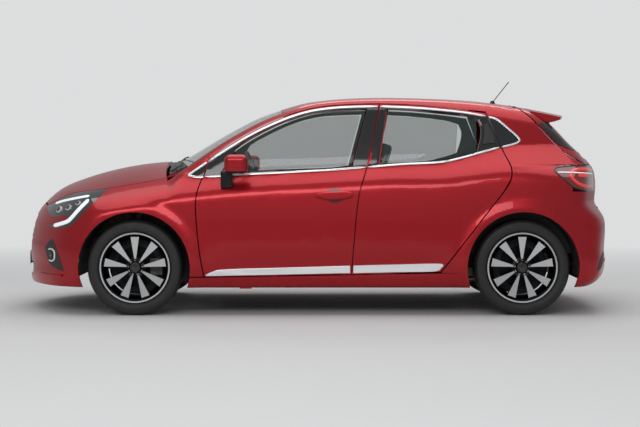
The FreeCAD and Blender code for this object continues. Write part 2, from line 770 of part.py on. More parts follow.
def roof_rail():
    """Windscreen pillar and roof rail above the doors."""
    over = [spot for spot in front_gap[3] if spot[0] < DOOR_FRONT - 95][::-1]
    over_rear = [spot for spot in rear_gap[2][::-1] if rail_end + 12 < spot[0] < DOOR_SPLIT - 200]
    low = on_side([(DOOR_FRONT - 80, 1041)] + over + over_rear + [(rail_end + SEAM, pillar_corner[1])])
    high = on_top(rail_points(DOOR_FRONT - 80, rail_end + SEAM, 9))
    start = lambda at: on_side_blend(low(0), high(0), at)
    end = lambda at: on_side_blend(low(1), high(1), at)
    return panel(low, high, start, end, RAIL, (44, 9), (0, 90))


def on_side_blend(first, second, at):
    """Skin point between two skin points, in their own cross section."""
    middle = first * (1 - at) + second * at
    start = Vector(middle.x, 0, SECTION_CENTRE)
    heading = (middle - start).normalize()
    return cast(start, heading, 0)


def pillar_foot():
    """Foot of the windscreen pillar, above the wing and ahead of the door."""
    stations = spread(DOOR_FRONT - 80 + SEAM, FRONT_AXLE - 182, 12)
    shape = slab(section_rays(stations, 20, 46, 14), 0, size("rail_thickness"))
    for cutter in (side_prism(grown(fender_outline, SEAM)), side_prism(front_gap), roof_area):
        shape = shape.cut(cutter)
    return largest(shape)


def centre_pillar():
    """Inner pillar that both doors close on."""
    low_z = SILL_TOP - 12
    front = [(x + 55, z) for x, z in split_edge]
    back = [(x - 75, z) for x, z in split_edge]
    front[0] = (front[0][0], low_z)
    back[0] = (back[0][0], low_z)
    low = on_side([front[0], back[0]])
    high = on_side([front[-1], back[-1]])
    post = panel(low, high, on_side(front), on_side(back), SPLIT_FRAME, (7, 22))
    inner_y = HALF - size("door_thickness") - size("split_frame_gap") - 15
    return largest(post.multiFuse(hinge_leaves(rear_hinge_x, inner_y)).cut(sill_seat))


def hinge_pillar():
    """Inner pillar that carries the front door's hinges."""
    front = [(DOOR_FRONT + 22, SILL_TOP - 16), (DOOR_FRONT + 30, 600), (DOOR_FRONT + 15, 815)]
    back = [(DOOR_FRONT - 85, SILL_TOP - 16), (DOOR_FRONT - 70, 600), (DOOR_FRONT - 75, 815)]
    low = on_side([front[0], back[0]])
    high = on_side([front[-1], back[-1]])
    post = panel(low, high, on_side(front), on_side(back), SPLIT_FRAME, (6, 16))
    inner_y = HALF - size("door_thickness") - size("split_frame_gap") - 15
    return largest(post.multiFuse(hinge_leaves(front_hinge_x, inner_y)).cut(sill_seat))


jack_pad = box(FRONT_AXLE - 778, FRONT_AXLE - 698, 775, 825, FLOOR - 6, FLOOR + 6)
sill_bar = sill().fuse(jack_pad)
sill_seat = sill_bar.translated(Vector(0, 0, SEAT))
left_side = Part.makeCompound([sill_bar, quarter(), rear_pillar(), roof_rail(), pillar_foot(), centre_pillar(),
                               hinge_pillar()])
both_sides("body_side", left_side)

fender_stations = spread(DOOR_FRONT - 50, FRONT_AXLE + 345, 30)
fender = slab(section_rays(fender_stations, -21, 37, 34), 0, size("panel_thickness"))
fender = fender.common(side_prism(fender_outline))
for cutter in (nose_area, roof_area, arch_cut(FRONT_AXLE), side_prism(grown(lamp_outline, SEAM))):
    fender = fender.cut(cutter)
both_sides("fender", largest(fender))

bonnet_stations = spread(bonnet_rear - 30, FRONT_AXLE + 600, 20) + spread(FRONT_AXLE + 625, FRONT_AXLE + 714, 6)
bonnet = slab(section_rays(bonnet_stations, 15, 165, 41), 0, size("panel_thickness"))
bonnet = largest(bonnet.common(plan_prism(bonnet_outline)))
bonnet_axis = Vector(bonnet_rear - 74, 0, 945)
BONNET_HINGE_Y = 605


def bonnet_arm(y):
    """Hinge arm from the bonnet's rear corner back to its pin."""
    reach = Vector(bonnet_rear + 48 - bonnet_axis.x, 0, 902 - bonnet_axis.z)
    bar = box(0, reach.Length, -6, 6, -7, 7)
    bar.Placement = Placement(bonnet_axis + Vector(0, y, 0), Rotation(Vector(1, 0, 0), reach))
    ring = barrel(10, 12, bonnet_axis + Vector(0, y, 0))
    bore = barrel(size("hinge_pin_radius") + SEAT, 20, bonnet_axis + Vector(0, y, 0))
    return bar.fuse(ring).cut(bore)


piece("bonnet", largest(bonnet.multiFuse([bonnet_arm(BONNET_HINGE_Y), bonnet_arm(-BONNET_HINGE_Y)])))

roof_stations = spread(tailgate_front - 30, screen_head + 40, 22)
roof = slab(section_rays(roof_stations, 48, 132, 31), 0, size("panel_thickness"))
roof_plan = plan_prism(between_rails(screen_head - SEAM, tailgate_front + size("roof_gap"), 30, 0, SEAM + 2 * SEAT))
roof = roof.common(roof_plan)
roof_edge = tailgate_front + size("roof_gap")


gate_axis = Vector(tailgate_front + 5, 0, top_height(tailgate_front, 0) - 10)
GATE_HINGE_Y = 250
gate_pin_radius = 3.5


def gate_pin(y):
    """Pin of a tailgate hinge, held between two ears on the roof's rear edge."""
    solids = [barrel(gate_pin_radius, 34, gate_axis + Vector(0, y, 0))]
    for side in (-1, 1):
        middle = y + side * 13
        solids.append(barrel(gate_pin_radius + 1, 8, gate_axis + Vector(0, middle, 0)))
        solids.append(box(gate_axis.x, roof_edge + 6, middle - 4, middle + 4, gate_axis.z - 12, gate_axis.z))
    return solids


piece("roof_panel", largest(roof.multiFuse(gate_pin(GATE_HINGE_Y) + gate_pin(-GATE_HINGE_Y))))

screen_stations = spread(screen_head - 40, screen_base + 60, 22)
screen = slab(section_rays(screen_stations, 34, 146, 37), 1, 1 + size("glass_thickness"))
screen_plan = plan_prism(between_rails(screen_base - SEAM, screen_head, 30, 30, SEAM + 2 * SEAT))
piece("windscreen", largest(screen.common(screen_plan)))

cowl_stations = spread(screen_base - 30, bonnet_rear + 60, 10)
cowl = slab(section_rays(cowl_stations, 25, 155, 33), 5, 30)
cowl_plan = plan_prism(between_rails(bonnet_rear - size("cowl_gap"), screen_base, 30, 30, SEAM))
cowl = largest(cowl.common(cowl_plan).common(box(0, NOSE, -585, 585, 0, ROOF)))
pin_reach = Part.makeCylinder(size("hinge_pin_radius"), 1250, bonnet_axis - Vector(0, 625, 0), Vector(0, 1, 0))
pin_reach = pin_reach.cut(box(0, NOSE, -560, 560, 0, ROOF))
brackets = []
for side in (-1, 1):
    first, last = sorted((556 * side, 580 * side))
    brackets.append(box(bonnet_axis.x - 4, bonnet_axis.x + 26, first, last, bonnet_axis.z - 8, bonnet_axis.z + 8))
piece("cowl_panel", largest(cowl.multiFuse(pin_reach.Solids + brackets)))

# Nose: bumper, grille and head lamps

nose_axis = FRONT_AXLE - 60
nose_heights = spread(188, 905, 38)
nose_rays = end_rays(nose_axis, 1, 78, 49, nose_heights)
nose_skin = wall(nose_rays, (0, 0), (0, size("bumper_thickness")))
grille_outline = [
    [(-330, 655), (330, 655)], [(330, 655), (395, 560), (390, 470), (330, 395)],
    [(330, 395), (-330, 395)], [(-330, 395), (-390, 470), (-395, 560), (-330, 655)],
]
intake_outline = [
    [(-420, 330), (420, 330)], [(420, 330), (380, 235)], [(380, 235), (-380, 235)],
    [(-380, 235), (-420, 330)],
]
lamp_solid = side_prism(grown(lamp_outline, SEAM))
fender_solid = side_prism(grown(fender_outline, SEAM))
front_arch = arch_cut(FRONT_AXLE)
bumper = nose_skin.cut(nose_area)
for cutter in (lamp_solid, fender_solid, front_arch):
    bumper = bumper.cut(cutter).cut(mirrored(cutter))
bumper = bumper.cut(box(nose_axis - 200, FRONT_AXLE + 200, -1100, 1100, 0, 1200))
for outline in (grille_outline, intake_outline):
    bumper = bumper.cut(front_prism(outline, FRONT_AXLE + 500, NOSE + 50))
piece("front_bumper", largest(bumper))

lamp = wall(nose_rays, (0, 0), (0, size("lamp_depth"))).common(side_prism(lamp_outline)).cut(nose_area)
both_sides("headlamp", largest(lamp))


grille_bars = spread(420, 632, 6)


def grille():
    """Two mouldings of level bars and uprights, with the towing eye's way out between them."""
    bars = []
    for outline, bar_heights in ((grille_outline, grille_bars), (intake_outline, (258, 300))):
        opening = front_prism(grown(outline, -0.5), FRONT_AXLE + 500, NOSE + 50)
        for z in bar_heights:
            bars.append(box(FRONT_AXLE + 500, NOSE, -450, 450, z - 5, z + 5).common(opening))
    runs = ((236, grille_bars[1] + 5), (grille_bars[2] - 5, 654))
    uprights = [box(FRONT_AXLE + 500, NOSE, y - 5, y + 5, low, high) for y in (-300, 0, 300) for low, high in runs]
    lattice = bars[0].multiFuse(bars[1:] + uprights)
    grille_rays = end_rays(nose_axis, 1, 45, 31, spread(200, 700, 24))
    depth = wall(grille_rays, (0, 12), (0, 42))
    skin = wall(grille_rays, (0, -5), (0, size("bumper_thickness") + 1))
    for outline in (grille_outline, intake_outline):
        skin = skin.cut(front_prism(outline, FRONT_AXLE + 500, NOSE + 50))
    mouldings = sorted(lattice.common(depth).cut(skin).Solids, key=lambda solid: solid.Volume)
    return Part.makeCompound(mouldings[-2:])


piece("grille", grille())

# Tail: bumper, lamps, tailgate and its glass

tail_axis = REAR_AXLE + 150
tail_rays = end_rays(tail_axis, -1, 78, 49, spread(188, 1030, 42))
tail_skin = wall(tail_rays, (0, 0), (0, size("bumper_thickness")))
tail_bumper = tail_skin.common(side_prism(rear_quarter_cut, -1100, 1100)).cut(tailgate_area)
tail_lamp_solid = side_prism(grown(tail_lamp_outline, SEAM), 400)
for cutter in (tail_lamp_solid, arch_cut(REAR_AXLE)):
    tail_bumper = tail_bumper.cut(cutter).cut(mirrored(cutter))
piece("rear_bumper", largest(tail_bumper))

tail_lamp = wall(tail_rays, (0, 0), (0, 60)).common(side_prism(tail_lamp_outline, 400)).cut(tailgate_area)
both_sides("tail_lamp", largest(tail_lamp))


def tailgate_rays():
    """Rays that follow the tail up from the bumper and over the roof edge."""
    low = [(z, 0) for z in spread(690, 1000, 12)]
    high = [(1000, pitch) for pitch in spread(4, 78, 24)]
    rays = []
    for across in spread(-1, 1, 47):
        line = []
        for z, pitch in low + high:
            turn = math.radians(pitch)
            heading = Vector(-math.cos(turn), 0.6 * across, math.sin(turn))
            line.append((Vector(tail_axis, 420 * across, z), heading.normalize()))
        rays.append(line)
    return rays


rear_window = [
    [(-545, 1048), (0, 1036), (545, 1048)], [(545, 1048), (560, 1070), (545, 1180), (505, 1318)],
    [(505, 1318), (0, 1332), (-505, 1318)], [(-505, 1318), (-545, 1180), (-560, 1070), (-545, 1048)],
]
gate_rays = tailgate_rays()
gate = slab(gate_rays, 0, 34).common(tailgate_region(0))
gate = gate.cut(front_prism(rear_window, TAIL - 100, REAR_AXLE + 100))


def gate_lug(y):
    """Tailgate hinge eye, let into the panel's front edge."""
    eye = barrel(6.5, 16, gate_axis + Vector(0, y, 0))
    web = box(tailgate_front - 38, gate_axis.x, y - 8, y + 8, gate_axis.z - 11, gate_axis.z)
    return eye.fuse(web)


gate = largest(gate.multiFuse([gate_lug(GATE_HINGE_Y), gate_lug(-GATE_HINGE_Y)]))
for y in (GATE_HINGE_Y, -GATE_HINGE_Y):
    gate = gate.cut(barrel(gate_pin_radius + SEAT, 60, gate_axis + Vector(0, y, 0)))
piece("tailgate", largest(gate))
gate_glass = slab(gate_rays, 3, 3 + size("glass_thickness"))
pane = front_prism(grown(rear_window, -0.3), TAIL - 100, REAR_AXLE + 100)
piece("tailgate_glass", largest(gate_glass.common(pane)))


def spoiler():
    """Wing over the rear glass that carries the roof line on."""
    start = REAR_AXLE - 95
    top = []
    under = []
    for y in spread(-525, 525, 23):
        tip = TAIL + 262 + 70 * (y / 525.0) ** 2
        spots = [Vector(x, y, top_height(x, abs(y))) for x in spread(start, tip, 10)]
        top.append(spots)
        under.append([spot - Vector(0, 0, 16 + 42 * math.sin(math.pi * (0.1 + 0.9 * i / 9.0)))
                      for i, spot in enumerate(spots)])
    return largest(between(top, under).cut(slab(gate_rays, -SEAT, 60)))


piece("spoiler", spoiler())

# Structure under the skin

floor_profile = [
    [(FRONT_AXLE - 240, 985), (FRONT_AXLE - 330, 560)], [(FRONT_AXLE - 330, 560), (FRONT_AXLE - 500, 200)],
    [(FRONT_AXLE - 500, 200), (REAR_AXLE + 520, 200)], [(REAR_AXLE + 520, 200), (REAR_AXLE + 400, 440)],
    [(REAR_AXLE + 400, 440), (TAIL + 90, 440)], [(TAIL + 90, 440), (TAIL + 90, 690)],
    [(TAIL + 90, 690), (TAIL + 115, 690)], [(TAIL + 115, 690), (TAIL + 115, 465)],
    [(TAIL + 115, 465), (REAR_AXLE + 415, 465)], [(REAR_AXLE + 415, 465), (REAR_AXLE + 535, 225)],
    [(REAR_AXLE + 535, 225), (FRONT_AXLE - 515, 225)], [(FRONT_AXLE - 515, 225), (FRONT_AXLE - 355, 565)],
    [(FRONT_AXLE - 355, 565), (FRONT_AXLE - 265, 985)], [(FRONT_AXLE - 265, 985), (FRONT_AXLE - 240, 985)],
]
floor_half = HALF - size("side_thickness") - 10
toe_half = HALF - size("side_thickness") - size("frame_gap") - 45
rear_well = size("track_rear") / 2 - size("tyre_width") / 2 - 40
front_well = 455
floor_plan = [
    [(FRONT_AXLE, front_well), (FRONT_AXLE - 400, front_well)],
    [(FRONT_AXLE - 400, front_well), (FRONT_AXLE - 400, toe_half)],
    [(FRONT_AXLE - 400, toe_half), (FRONT_AXLE - 560, toe_half)],
    [(FRONT_AXLE - 560, toe_half), (FRONT_AXLE - 560, floor_half)],
    [(FRONT_AXLE - 560, floor_half), (REAR_AXLE + 540, floor_half)],
    [(REAR_AXLE + 540, floor_half), (REAR_AXLE + 400, rear_well)],
    [(REAR_AXLE + 400, rear_well), (TAIL, rear_well)],
    [(TAIL, rear_well), (TAIL, -rear_well)],
    [(TAIL, -rear_well), (REAR_AXLE + 400, -rear_well)],
    [(REAR_AXLE + 400, -rear_well), (REAR_AXLE + 540, -floor_half)],
    [(REAR_AXLE + 540, -floor_half), (FRONT_AXLE - 560, -floor_half)],
    [(FRONT_AXLE - 560, -floor_half), (FRONT_AXLE - 560, -toe_half)],
    [(FRONT_AXLE - 560, -toe_half), (FRONT_AXLE - 400, -toe_half)],
    [(FRONT_AXLE - 400, -toe_half), (FRONT_AXLE - 400, -front_well)],
    [(FRONT_AXLE - 400, -front_well), (FRONT_AXLE, -front_well)],
    [(FRONT_AXLE, -front_well), (FRONT_AXLE, front_well)],
]
floor_pan = side_prism(floor_profile, -900, 900).common(plan_prism(floor_plan))
sill_rays = level_rays(spread(REAR_AXLE + 300, FRONT_AXLE - 300, 30), spread(186, 330, 10))
sill_zone = wall(sill_rays, (0, -40), (size("side_thickness"), 1))
tail_zone = wall(tail_rays, (0, -40), (0, size("bumper_thickness") + SEAT))
cowl_zone = slab(section_rays(cowl_stations, 25, 155, 33), -40, 30 + SEAT)
screen_zone = slab(section_rays(screen_stations, 34, 146, 37), -40, 1 + size("glass_thickness") + SEAT)
for zone in (sill_zone, mirrored(sill_zone), tail_zone, cowl_zone, screen_zone):
    floor_pan = floor_pan.cut(zone)
piece("floor_pan", largest(floor_pan))


KINGPIN_LOW = Vector(FRONT_AXLE, 655, 215)
KINGPIN_TOP = Vector(FRONT_AXLE, 575, 790)


def liner(hub, inner_y, closed):
    """Wheel arch liner on the left, open below."""
    radius = size("arch_radius")
    wall = size("liner_wall")
    length = 870 - inner_y
    centre = Vector(hub, inner_y + length / 2, WHEEL_Z)
    ring = barrel(radius + wall, length, centre).cut(barrel(radius, length + 2, centre))
    if closed:
        ring = ring.fuse(barrel(radius + 1, wall, Vector(hub, inner_y + wall / 2, WHEEL_Z)))
        ring = ring.cut(box(hub - 500, hub + 500, 0, inner_y + wall, 0, 400))
    else:
        ring = ring.cut(Part.makeCylinder(75, 700, KINGPIN_LOW, KINGPIN_TOP - KINGPIN_LOW))
    ring = ring.cut(box(hub - 500, hub + 500, 0, 1000, 0, 262))
    for zone in (fender_zone, nose_zone) if hub == FRONT_AXLE else (quarter_zone, sill_zone, tail_zone):
        ring = ring.cut(zone)
    return largest(ring)


fender_zone = slab(section_rays(fender_stations, -21, 37, 30), -40, size("panel_thickness") + 0.3)
nose_zone = wall(nose_rays, (0, -40), (0, size("bumper_thickness") + SEAT))
quarter_zone = wall(quarter_rays, (0, -40), (0, QUARTER_DEPTH + SEAT))
front_liner = liner(FRONT_AXLE, 470, False)
rear_liner = liner(REAR_AXLE, rear_well, True)
liners = [front_liner, rear_liner, mirrored(front_liner), mirrored(rear_liner)]
piece("wheel_liners", Part.makeCompound(liners))

rail_y = size("rail_spread")
rail_width = 80


firewall_side = grown([
    [(FRONT_AXLE - 240, 985), (FRONT_AXLE - 330, 560)], [(FRONT_AXLE - 330, 560), (FRONT_AXLE - 500, 200)],
    [(FRONT_AXLE - 500, 200), (FRONT_AXLE - 700, 200)], [(FRONT_AXLE - 700, 200), (FRONT_AXLE - 700, 985)],
    [(FRONT_AXLE - 700, 985), (FRONT_AXLE - 240, 985)],
], SEAT)


def front_side(side):
    """Rail along one side, with its leg on the cross member and the strut tower."""
    low = rail_y if side > 0 else -rail_y - rail_width
    rail = box(FRONT_AXLE - 500, beam_x, low, low + rail_width, 400, 500).cut(side_prism(firewall_side, -900, 900))
    leg = box(FRONT_AXLE - 60, FRONT_AXLE - 10, low, low + rail_width, CROSS_TOP, 401)
    inner, wall_out, outer = [distance * side for distance in (rail_y + 10, rail_y + 22, 640)]
    first, last = sorted((inner, wall_out))
    tower_wall = box(FRONT_AXLE - 70, FRONT_AXLE + 70, first, last, 499, 801)
    first, last = sorted((inner, outer))
    tower_top = box(FRONT_AXLE - 70, FRONT_AXLE + 70, first, last, 800, 812)
    return largest(rail.multiFuse([leg, tower_wall, tower_top]))


def front_structure():
    """Bumper beam with the towing socket, both sides, and the cross member with its lower arms."""
    tow = Vector(beam_x + 49, -360, (grille_bars[1] + grille_bars[2]) / 2)
    beam = box(beam_x, beam_x + 50, -440, 440, 420, 520).fuse(Part.makeCylinder(18, 41, tow, Vector(1, 0, 0)))
    beam = beam.cut(Part.makeCylinder(8, 60, tow - Vector(19, 0, 0), Vector(1, 0, 0)))
    cross = [box(FRONT_AXLE - 130, FRONT_AXLE + 60, -420, 420, 225, CROSS_TOP)]
    for side in (-1, 1):
        first, last = sorted((400 * side, 655 * side))
        cross.append(box(FRONT_AXLE - 30, FRONT_AXLE + 30, first, last, 228, 250))
        cross.append(Part.makeCylinder(32, 28, Vector(FRONT_AXLE, 655 * side, 225)))
    cross = cross[0].multiFuse(cross[1:])
    kingpin = (KINGPIN_TOP - KINGPIN_LOW).normalize()
    ball_bore = Part.makeCylinder(size("ball_pin_radius") + RUN, 70, KINGPIN_LOW - kingpin * 20, kingpin)
    cross = cross.cut(ball_bore).cut(mirrored(ball_bore))
    return Part.makeCompound([largest(beam), front_side(1), front_side(-1), largest(cross)])


beam_x = NOSE - 230
CROSS_TOP = 285
piece("front_structure", front_structure())


def knuckle():
    """Left knuckle: spindle, upright, strut and brake caliper."""
    hub_y = size("track_front") / 2
    axis = (KINGPIN_TOP - KINGPIN_LOW).normalize()
    pin = Part.makeCylinder(size("ball_pin_radius"), 56, KINGPIN_LOW + axis * 5, axis)
    upright = box(FRONT_AXLE - 30, FRONT_AXLE + 30, 630, 668, 262, 440)
    spindle = Part.makeCylinder(size("spindle_radius"), 120, Vector(FRONT_AXLE, 640, WHEEL_Z), Vector(0, 1, 0))
    strut = Part.makeCylinder(24, 400, KINGPIN_LOW + axis * 175, axis)
    spring = Part.makeCylinder(52, 110, KINGPIN_LOW + axis * 462, axis)
    stem = Part.makeCylinder(12, 8.4, KINGPIN_LOW + axis * 574, axis)
    caliper = box(FRONT_AXLE - 172, FRONT_AXLE - 92, 672, 742, WHEEL_Z - 55, WHEEL_Z + 55)
    slot_half = size("disc_thickness") / 2 + 2
    disc_y = hub_y - 48
    slot = barrel(size("disc_radius") + 4, 2 * slot_half, Vector(FRONT_AXLE, disc_y, WHEEL_Z))
    bracket = box(FRONT_AXLE - 160, FRONT_AXLE - 20, 640, 668, WHEEL_Z - 20, WHEEL_Z + 20)
    bridge = box(FRONT_AXLE - 160, FRONT_AXLE - 110, 660, 676, WHEEL_Z - 20, WHEEL_Z + 20)
    caliper = caliper.fuse(bridge).cut(slot)
    return largest(upright.multiFuse([pin, spindle, strut, spring, stem, caliper, bracket]))


both_sides("knuckle", knuckle())


def rear_axle():
    """Twist beam with trailing arms, spring seats and stub axles."""
    solids = [box(REAR_AXLE + 140, REAR_AXLE + 200, -520, 520, 235, 300)]
    for side in (-1, 1):
        arm_low = 500 if side > 0 else -570
        solids.append(box(REAR_AXLE - 40, REAR_AXLE + 420, arm_low, arm_low + 70, 240, 300))
        plate_low = 560 if side > 0 else -600
        solids.append(box(REAR_AXLE - 45, REAR_AXLE + 45, plate_low, plate_low + 40, 240, 380))
        stub = Vector(REAR_AXLE, 590 * side, WHEEL_Z)
        solids.append(Part.makeCylinder(size("spindle_radius"), 170, stub, Vector(0, side, 0)))
        solids.append(Part.makeCylinder(45, 150 - SEAT, Vector(REAR_AXLE + 60, 520 * side, 290)))
        solids.append(barrel(30, 90, Vector(REAR_AXLE + 420, 535 * side, 270)))
        solids.append(box(REAR_AXLE + 360, REAR_AXLE + 398, arm_low, arm_low + 70, 270, 440 - SEAT))
    return largest(solids[0].multiFuse(solids[1:]))


piece("rear_axle", rear_axle())

exhaust_path = [
    Vector(FRONT_AXLE - 130, -60, 165), Vector(REAR_AXLE + 300, -60, 165), Vector(REAR_AXLE - 160, -300, 200),
    Vector(REAR_AXLE - 300, -300, 275),
]


def bound(text):
    """The same expression with the sheet's name before each size."""
    return re.sub(r"[a-z_]+", lambda word: "sizes." + word.group() if word.group() in SIZES else word.group(), text)


def block(label, edges, corner):
    """Plain box whose edges and corner are held by sizes."""
    item = doc.addObject("Part::Box", label)
    for name, text in zip(("Length", "Width", "Height"), edges):
        item.setExpression(name, bound(text))
    for name, text in zip("xyz", corner):
        item.setExpression("Placement.Base." + name, bound(text))
    parts.append(item)


def tube(points, radius, bend):
    """Round bar along straight runs joined by arcs of one radius."""
    edges = []
    start = points[0]
    for before, corner, after in zip(points, points[1:], points[2:]):
        back = (before - corner).normalize()
        ahead = (after - corner).normalize()
        half_turn = (math.pi - back.getAngle(ahead)) / 2
        reach = bend * math.tan(half_turn)
        inward = (back + ahead).normalize()
        middle = corner + inward * (bend / math.cos(half_turn) - bend)
        edges.append(Part.makeLine(start, corner + back * reach))
        edges.append(Part.Arc(corner + back * reach, middle, corner + ahead * reach).toShape())
        start = corner + ahead * reach
    edges.append(Part.makeLine(start, points[-1]))
    ring = Part.Wire(Part.makeCircle(radius, points[0], points[1] - points[0]))
    return Part.Wire(edges).makePipeShell([ring], True, False)


def exhaust():
    """Pipe along the floor and a silencer behind the rear axle."""
    radius = size("exhaust_radius")
    solids = [tube(exhaust_path, radius, 120), barrel(85, 520, Vector(REAR_AXLE - 330, -300, 300))]
    solids.append(Part.makeCylinder(radius, 160, Vector(REAR_AXLE - 400, -450, 280), Vector(-1, 0, -0.1)))
    for x in (FRONT_AXLE - 900, REAR_AXLE + 620):
        solids.append(box(x - 12, x + 12, -72, -48, 180, 200 - SEAT))
    solids.append(Part.makeCylinder(9, 70 - SEAT, Vector(REAR_AXLE - 330, -300, 370)))
    return largest(solids[0].multiFuse(solids[1:]))


piece("exhaust", exhaust())
block("fuel_tank", ("tank_length", "tank_width", "tank_height - seat_clearance"),
      ("205 - (wheelbase + front_overhang - rear_overhang) / 2", "60", "tank_roof - tank_height"))
block("engine_block", ("engine_length", "2 * (rail_spread - seat_clearance)", "engine_height"),
      ("(wheelbase + rear_overhang - front_overhang) / 2 - 100", "seat_clearance - rail_spread", "320"))

# Cabin

SEAT_Y = size("seat_spacing") / 2


def rounded(shape, radius):
    """The same shape with all its edges rounded."""
    return shape.makeFillet(radius, shape.Edges)


def seat(y):
    """Front seat: cushion, back and head rest."""
    half = size("seat_width") / 2
    cushion = rounded(box(-290, 250, y - half, y + half, 290, 430), 50)
    back = rounded(box(-60, 60, y - half + 15, y + half - 15, 0, 640), 48)
    back.Placement = Placement(Vector(-255, 0, 370), Rotation(Vector(0, 1, 0), -18))
    rest = rounded(box(-45, 45, y - 130, y + 130, 650, 820), 38)
    rest.Placement = back.Placement
    post = box(-10, 10, y - 60, y + 60, 600, 700)
    post.Placement = back.Placement
    base = box(-220, 200, y - half + 60, y + half - 60, 225.3, 330)
    return cushion.multiFuse([back, rest, post, base]).removeSplitter()


front_seats = Part.makeCompound([seat(SEAT_Y), seat(-SEAT_Y)])
piece("front_seats", front_seats, Placement(Vector(FRONT_AXLE - 1188, 0, 0), Rotation()))


def rear_bench():
    """Rear cushion and back as one piece."""
    cushion = rounded(box(REAR_AXLE + 330, REAR_AXLE + 800, -575, 575, 320, 480), 55)
    back = rounded(box(-60, 60, -575, 575, 0, 620), 50)
    back.Placement = Placement(Vector(REAR_AXLE + 335, 0, 465.3 - 20), Rotation(Vector(0, 1, 0), -20))
    foot = box(REAR_AXLE + 550, REAR_AXLE + 760, -540, 540, 225.3, 340)
    shape = cushion.multiFuse([back, foot])
    under = [
        [(REAR_AXLE + 535 + SEAT, 225 + SEAT), (REAR_AXLE + 415, 465 + SEAT)],
        [(REAR_AXLE + 415, 465 + SEAT), (TAIL, 465 + SEAT)], [(TAIL, 465 + SEAT), (TAIL, 0)],
        [(TAIL, 0), (REAR_AXLE + 535 + SEAT, 0)], [(REAR_AXLE + 535 + SEAT, 0), (REAR_AXLE + 535 + SEAT, 225 + SEAT)],
    ]
    return largest(shape.cut(side_prism(under, -900, 900)))


piece("rear_bench", rear_bench())

dash_profile = [
    [(FRONT_AXLE - 275.3, 940), (FRONT_AXLE - 480, 965), (FRONT_AXLE - 620, 930), (FRONT_AXLE - 690, 860)],
    [(FRONT_AXLE - 690, 860), (FRONT_AXLE - 640, 700)], [(FRONT_AXLE - 640, 700), (FRONT_AXLE - 339.6, 640)],
    [(FRONT_AXLE - 339.6, 640), (FRONT_AXLE - 275.3, 940)],
]
dash_half = 655
dashboard = side_prism(dash_profile, -dash_half, dash_half)
for side in (-1, 1):
    first, last = sorted(((BONNET_HINGE_Y - 15) * side, (BONNET_HINGE_Y + 15) * side))
    dashboard = dashboard.cut(box(bonnet_axis.x - 20, NOSE, first, last, bonnet_axis.z - 20, ROOF))
steer_centre = Vector(FRONT_AXLE - 790, SEAT_Y, 930)
steer_axis = Vector(-math.cos(math.radians(24)), 0, math.sin(math.radians(24)))
column = Part.makeCylinder(32, 190, steer_centre - steer_axis * (224.4 - SEAT), steer_axis)
piece("dashboard", largest(dashboard.fuse(column)))


def steering_wheel():
    """Rim, hub and three spokes, lying about the column's axis."""
    grip = size("steering_wheel_grip")
    ring_radius = size("steering_wheel_radius") - grip
    ring = Part.makeTorus(ring_radius, grip)
    hub = Part.makeCylinder(62, 34, Vector(0, 0, -34))
    spokes = []
    for angle in (0, 180, 270):
        spoke = box(40, ring_radius, -16, 16, -18, -4)
        spoke.rotate(Vector(0, 0, 0), Vector(0, 0, 1), angle)
        spokes.append(spoke)
    return ring.multiFuse([hub] + spokes)


wheel_turn = Rotation(Vector(0, 0, 1), steer_axis)
piece("steering_wheel", steering_wheel(), Placement(steer_centre, wheel_turn))

# Wheels

RIM = size("rim_radius")


def plane_of(body, role):
    """One of a body's own origin planes or axes."""
    return [item for item in body.Origin.OriginFeatures if item.Role == role][0]


def outline_sketch(body, label, points, lift=None):
    """Closed sketch in the body's XY plane whose corners are each held by two sizes."""
    sketch = body.newObject("Sketcher::SketchObject", label)
    sketch.AttachmentSupport = (plane_of(body, "XY_Plane"), [""])
    sketch.MapMode = "FlatFace"
    if lift:
        sketch.setExpression("AttachmentOffset.Base.z", bound(lift))
    spots = [[float(sheet.evalExpression(text)) for text in point] for point in points]
    for i, first in enumerate(spots):
        last = spots[(i + 1) % len(spots)]
        sketch.addGeometry(Part.LineSegment(Vector(first[0], first[1], 0), Vector(last[0], last[1], 0)), False)
    for i, spot in enumerate(spots):
        sketch.addConstraint(Sketcher.Constraint("Coincident", i, 2, (i + 1) % len(spots), 1))
        for kind, text, value in zip(("DistanceX", "DistanceY"), points[i], spot):
            place = sketch.addConstraint(Sketcher.Constraint(kind, -1, 1, i, 1, value))
            sketch.setExpression("Constraints[%d]" % place, bound(text))
    return sketch


def revolved(body, label, points):
    """Ring about the body's Y axis, from (radius, width) corners."""
    sketch = outline_sketch(body, label + "_section", points)
    ring = body.newObject("PartDesign::Revolution", label)
    ring.Profile = sketch
    ring.ReferenceAxis = (sketch, ["V_Axis"])
    ring.Angle = 360


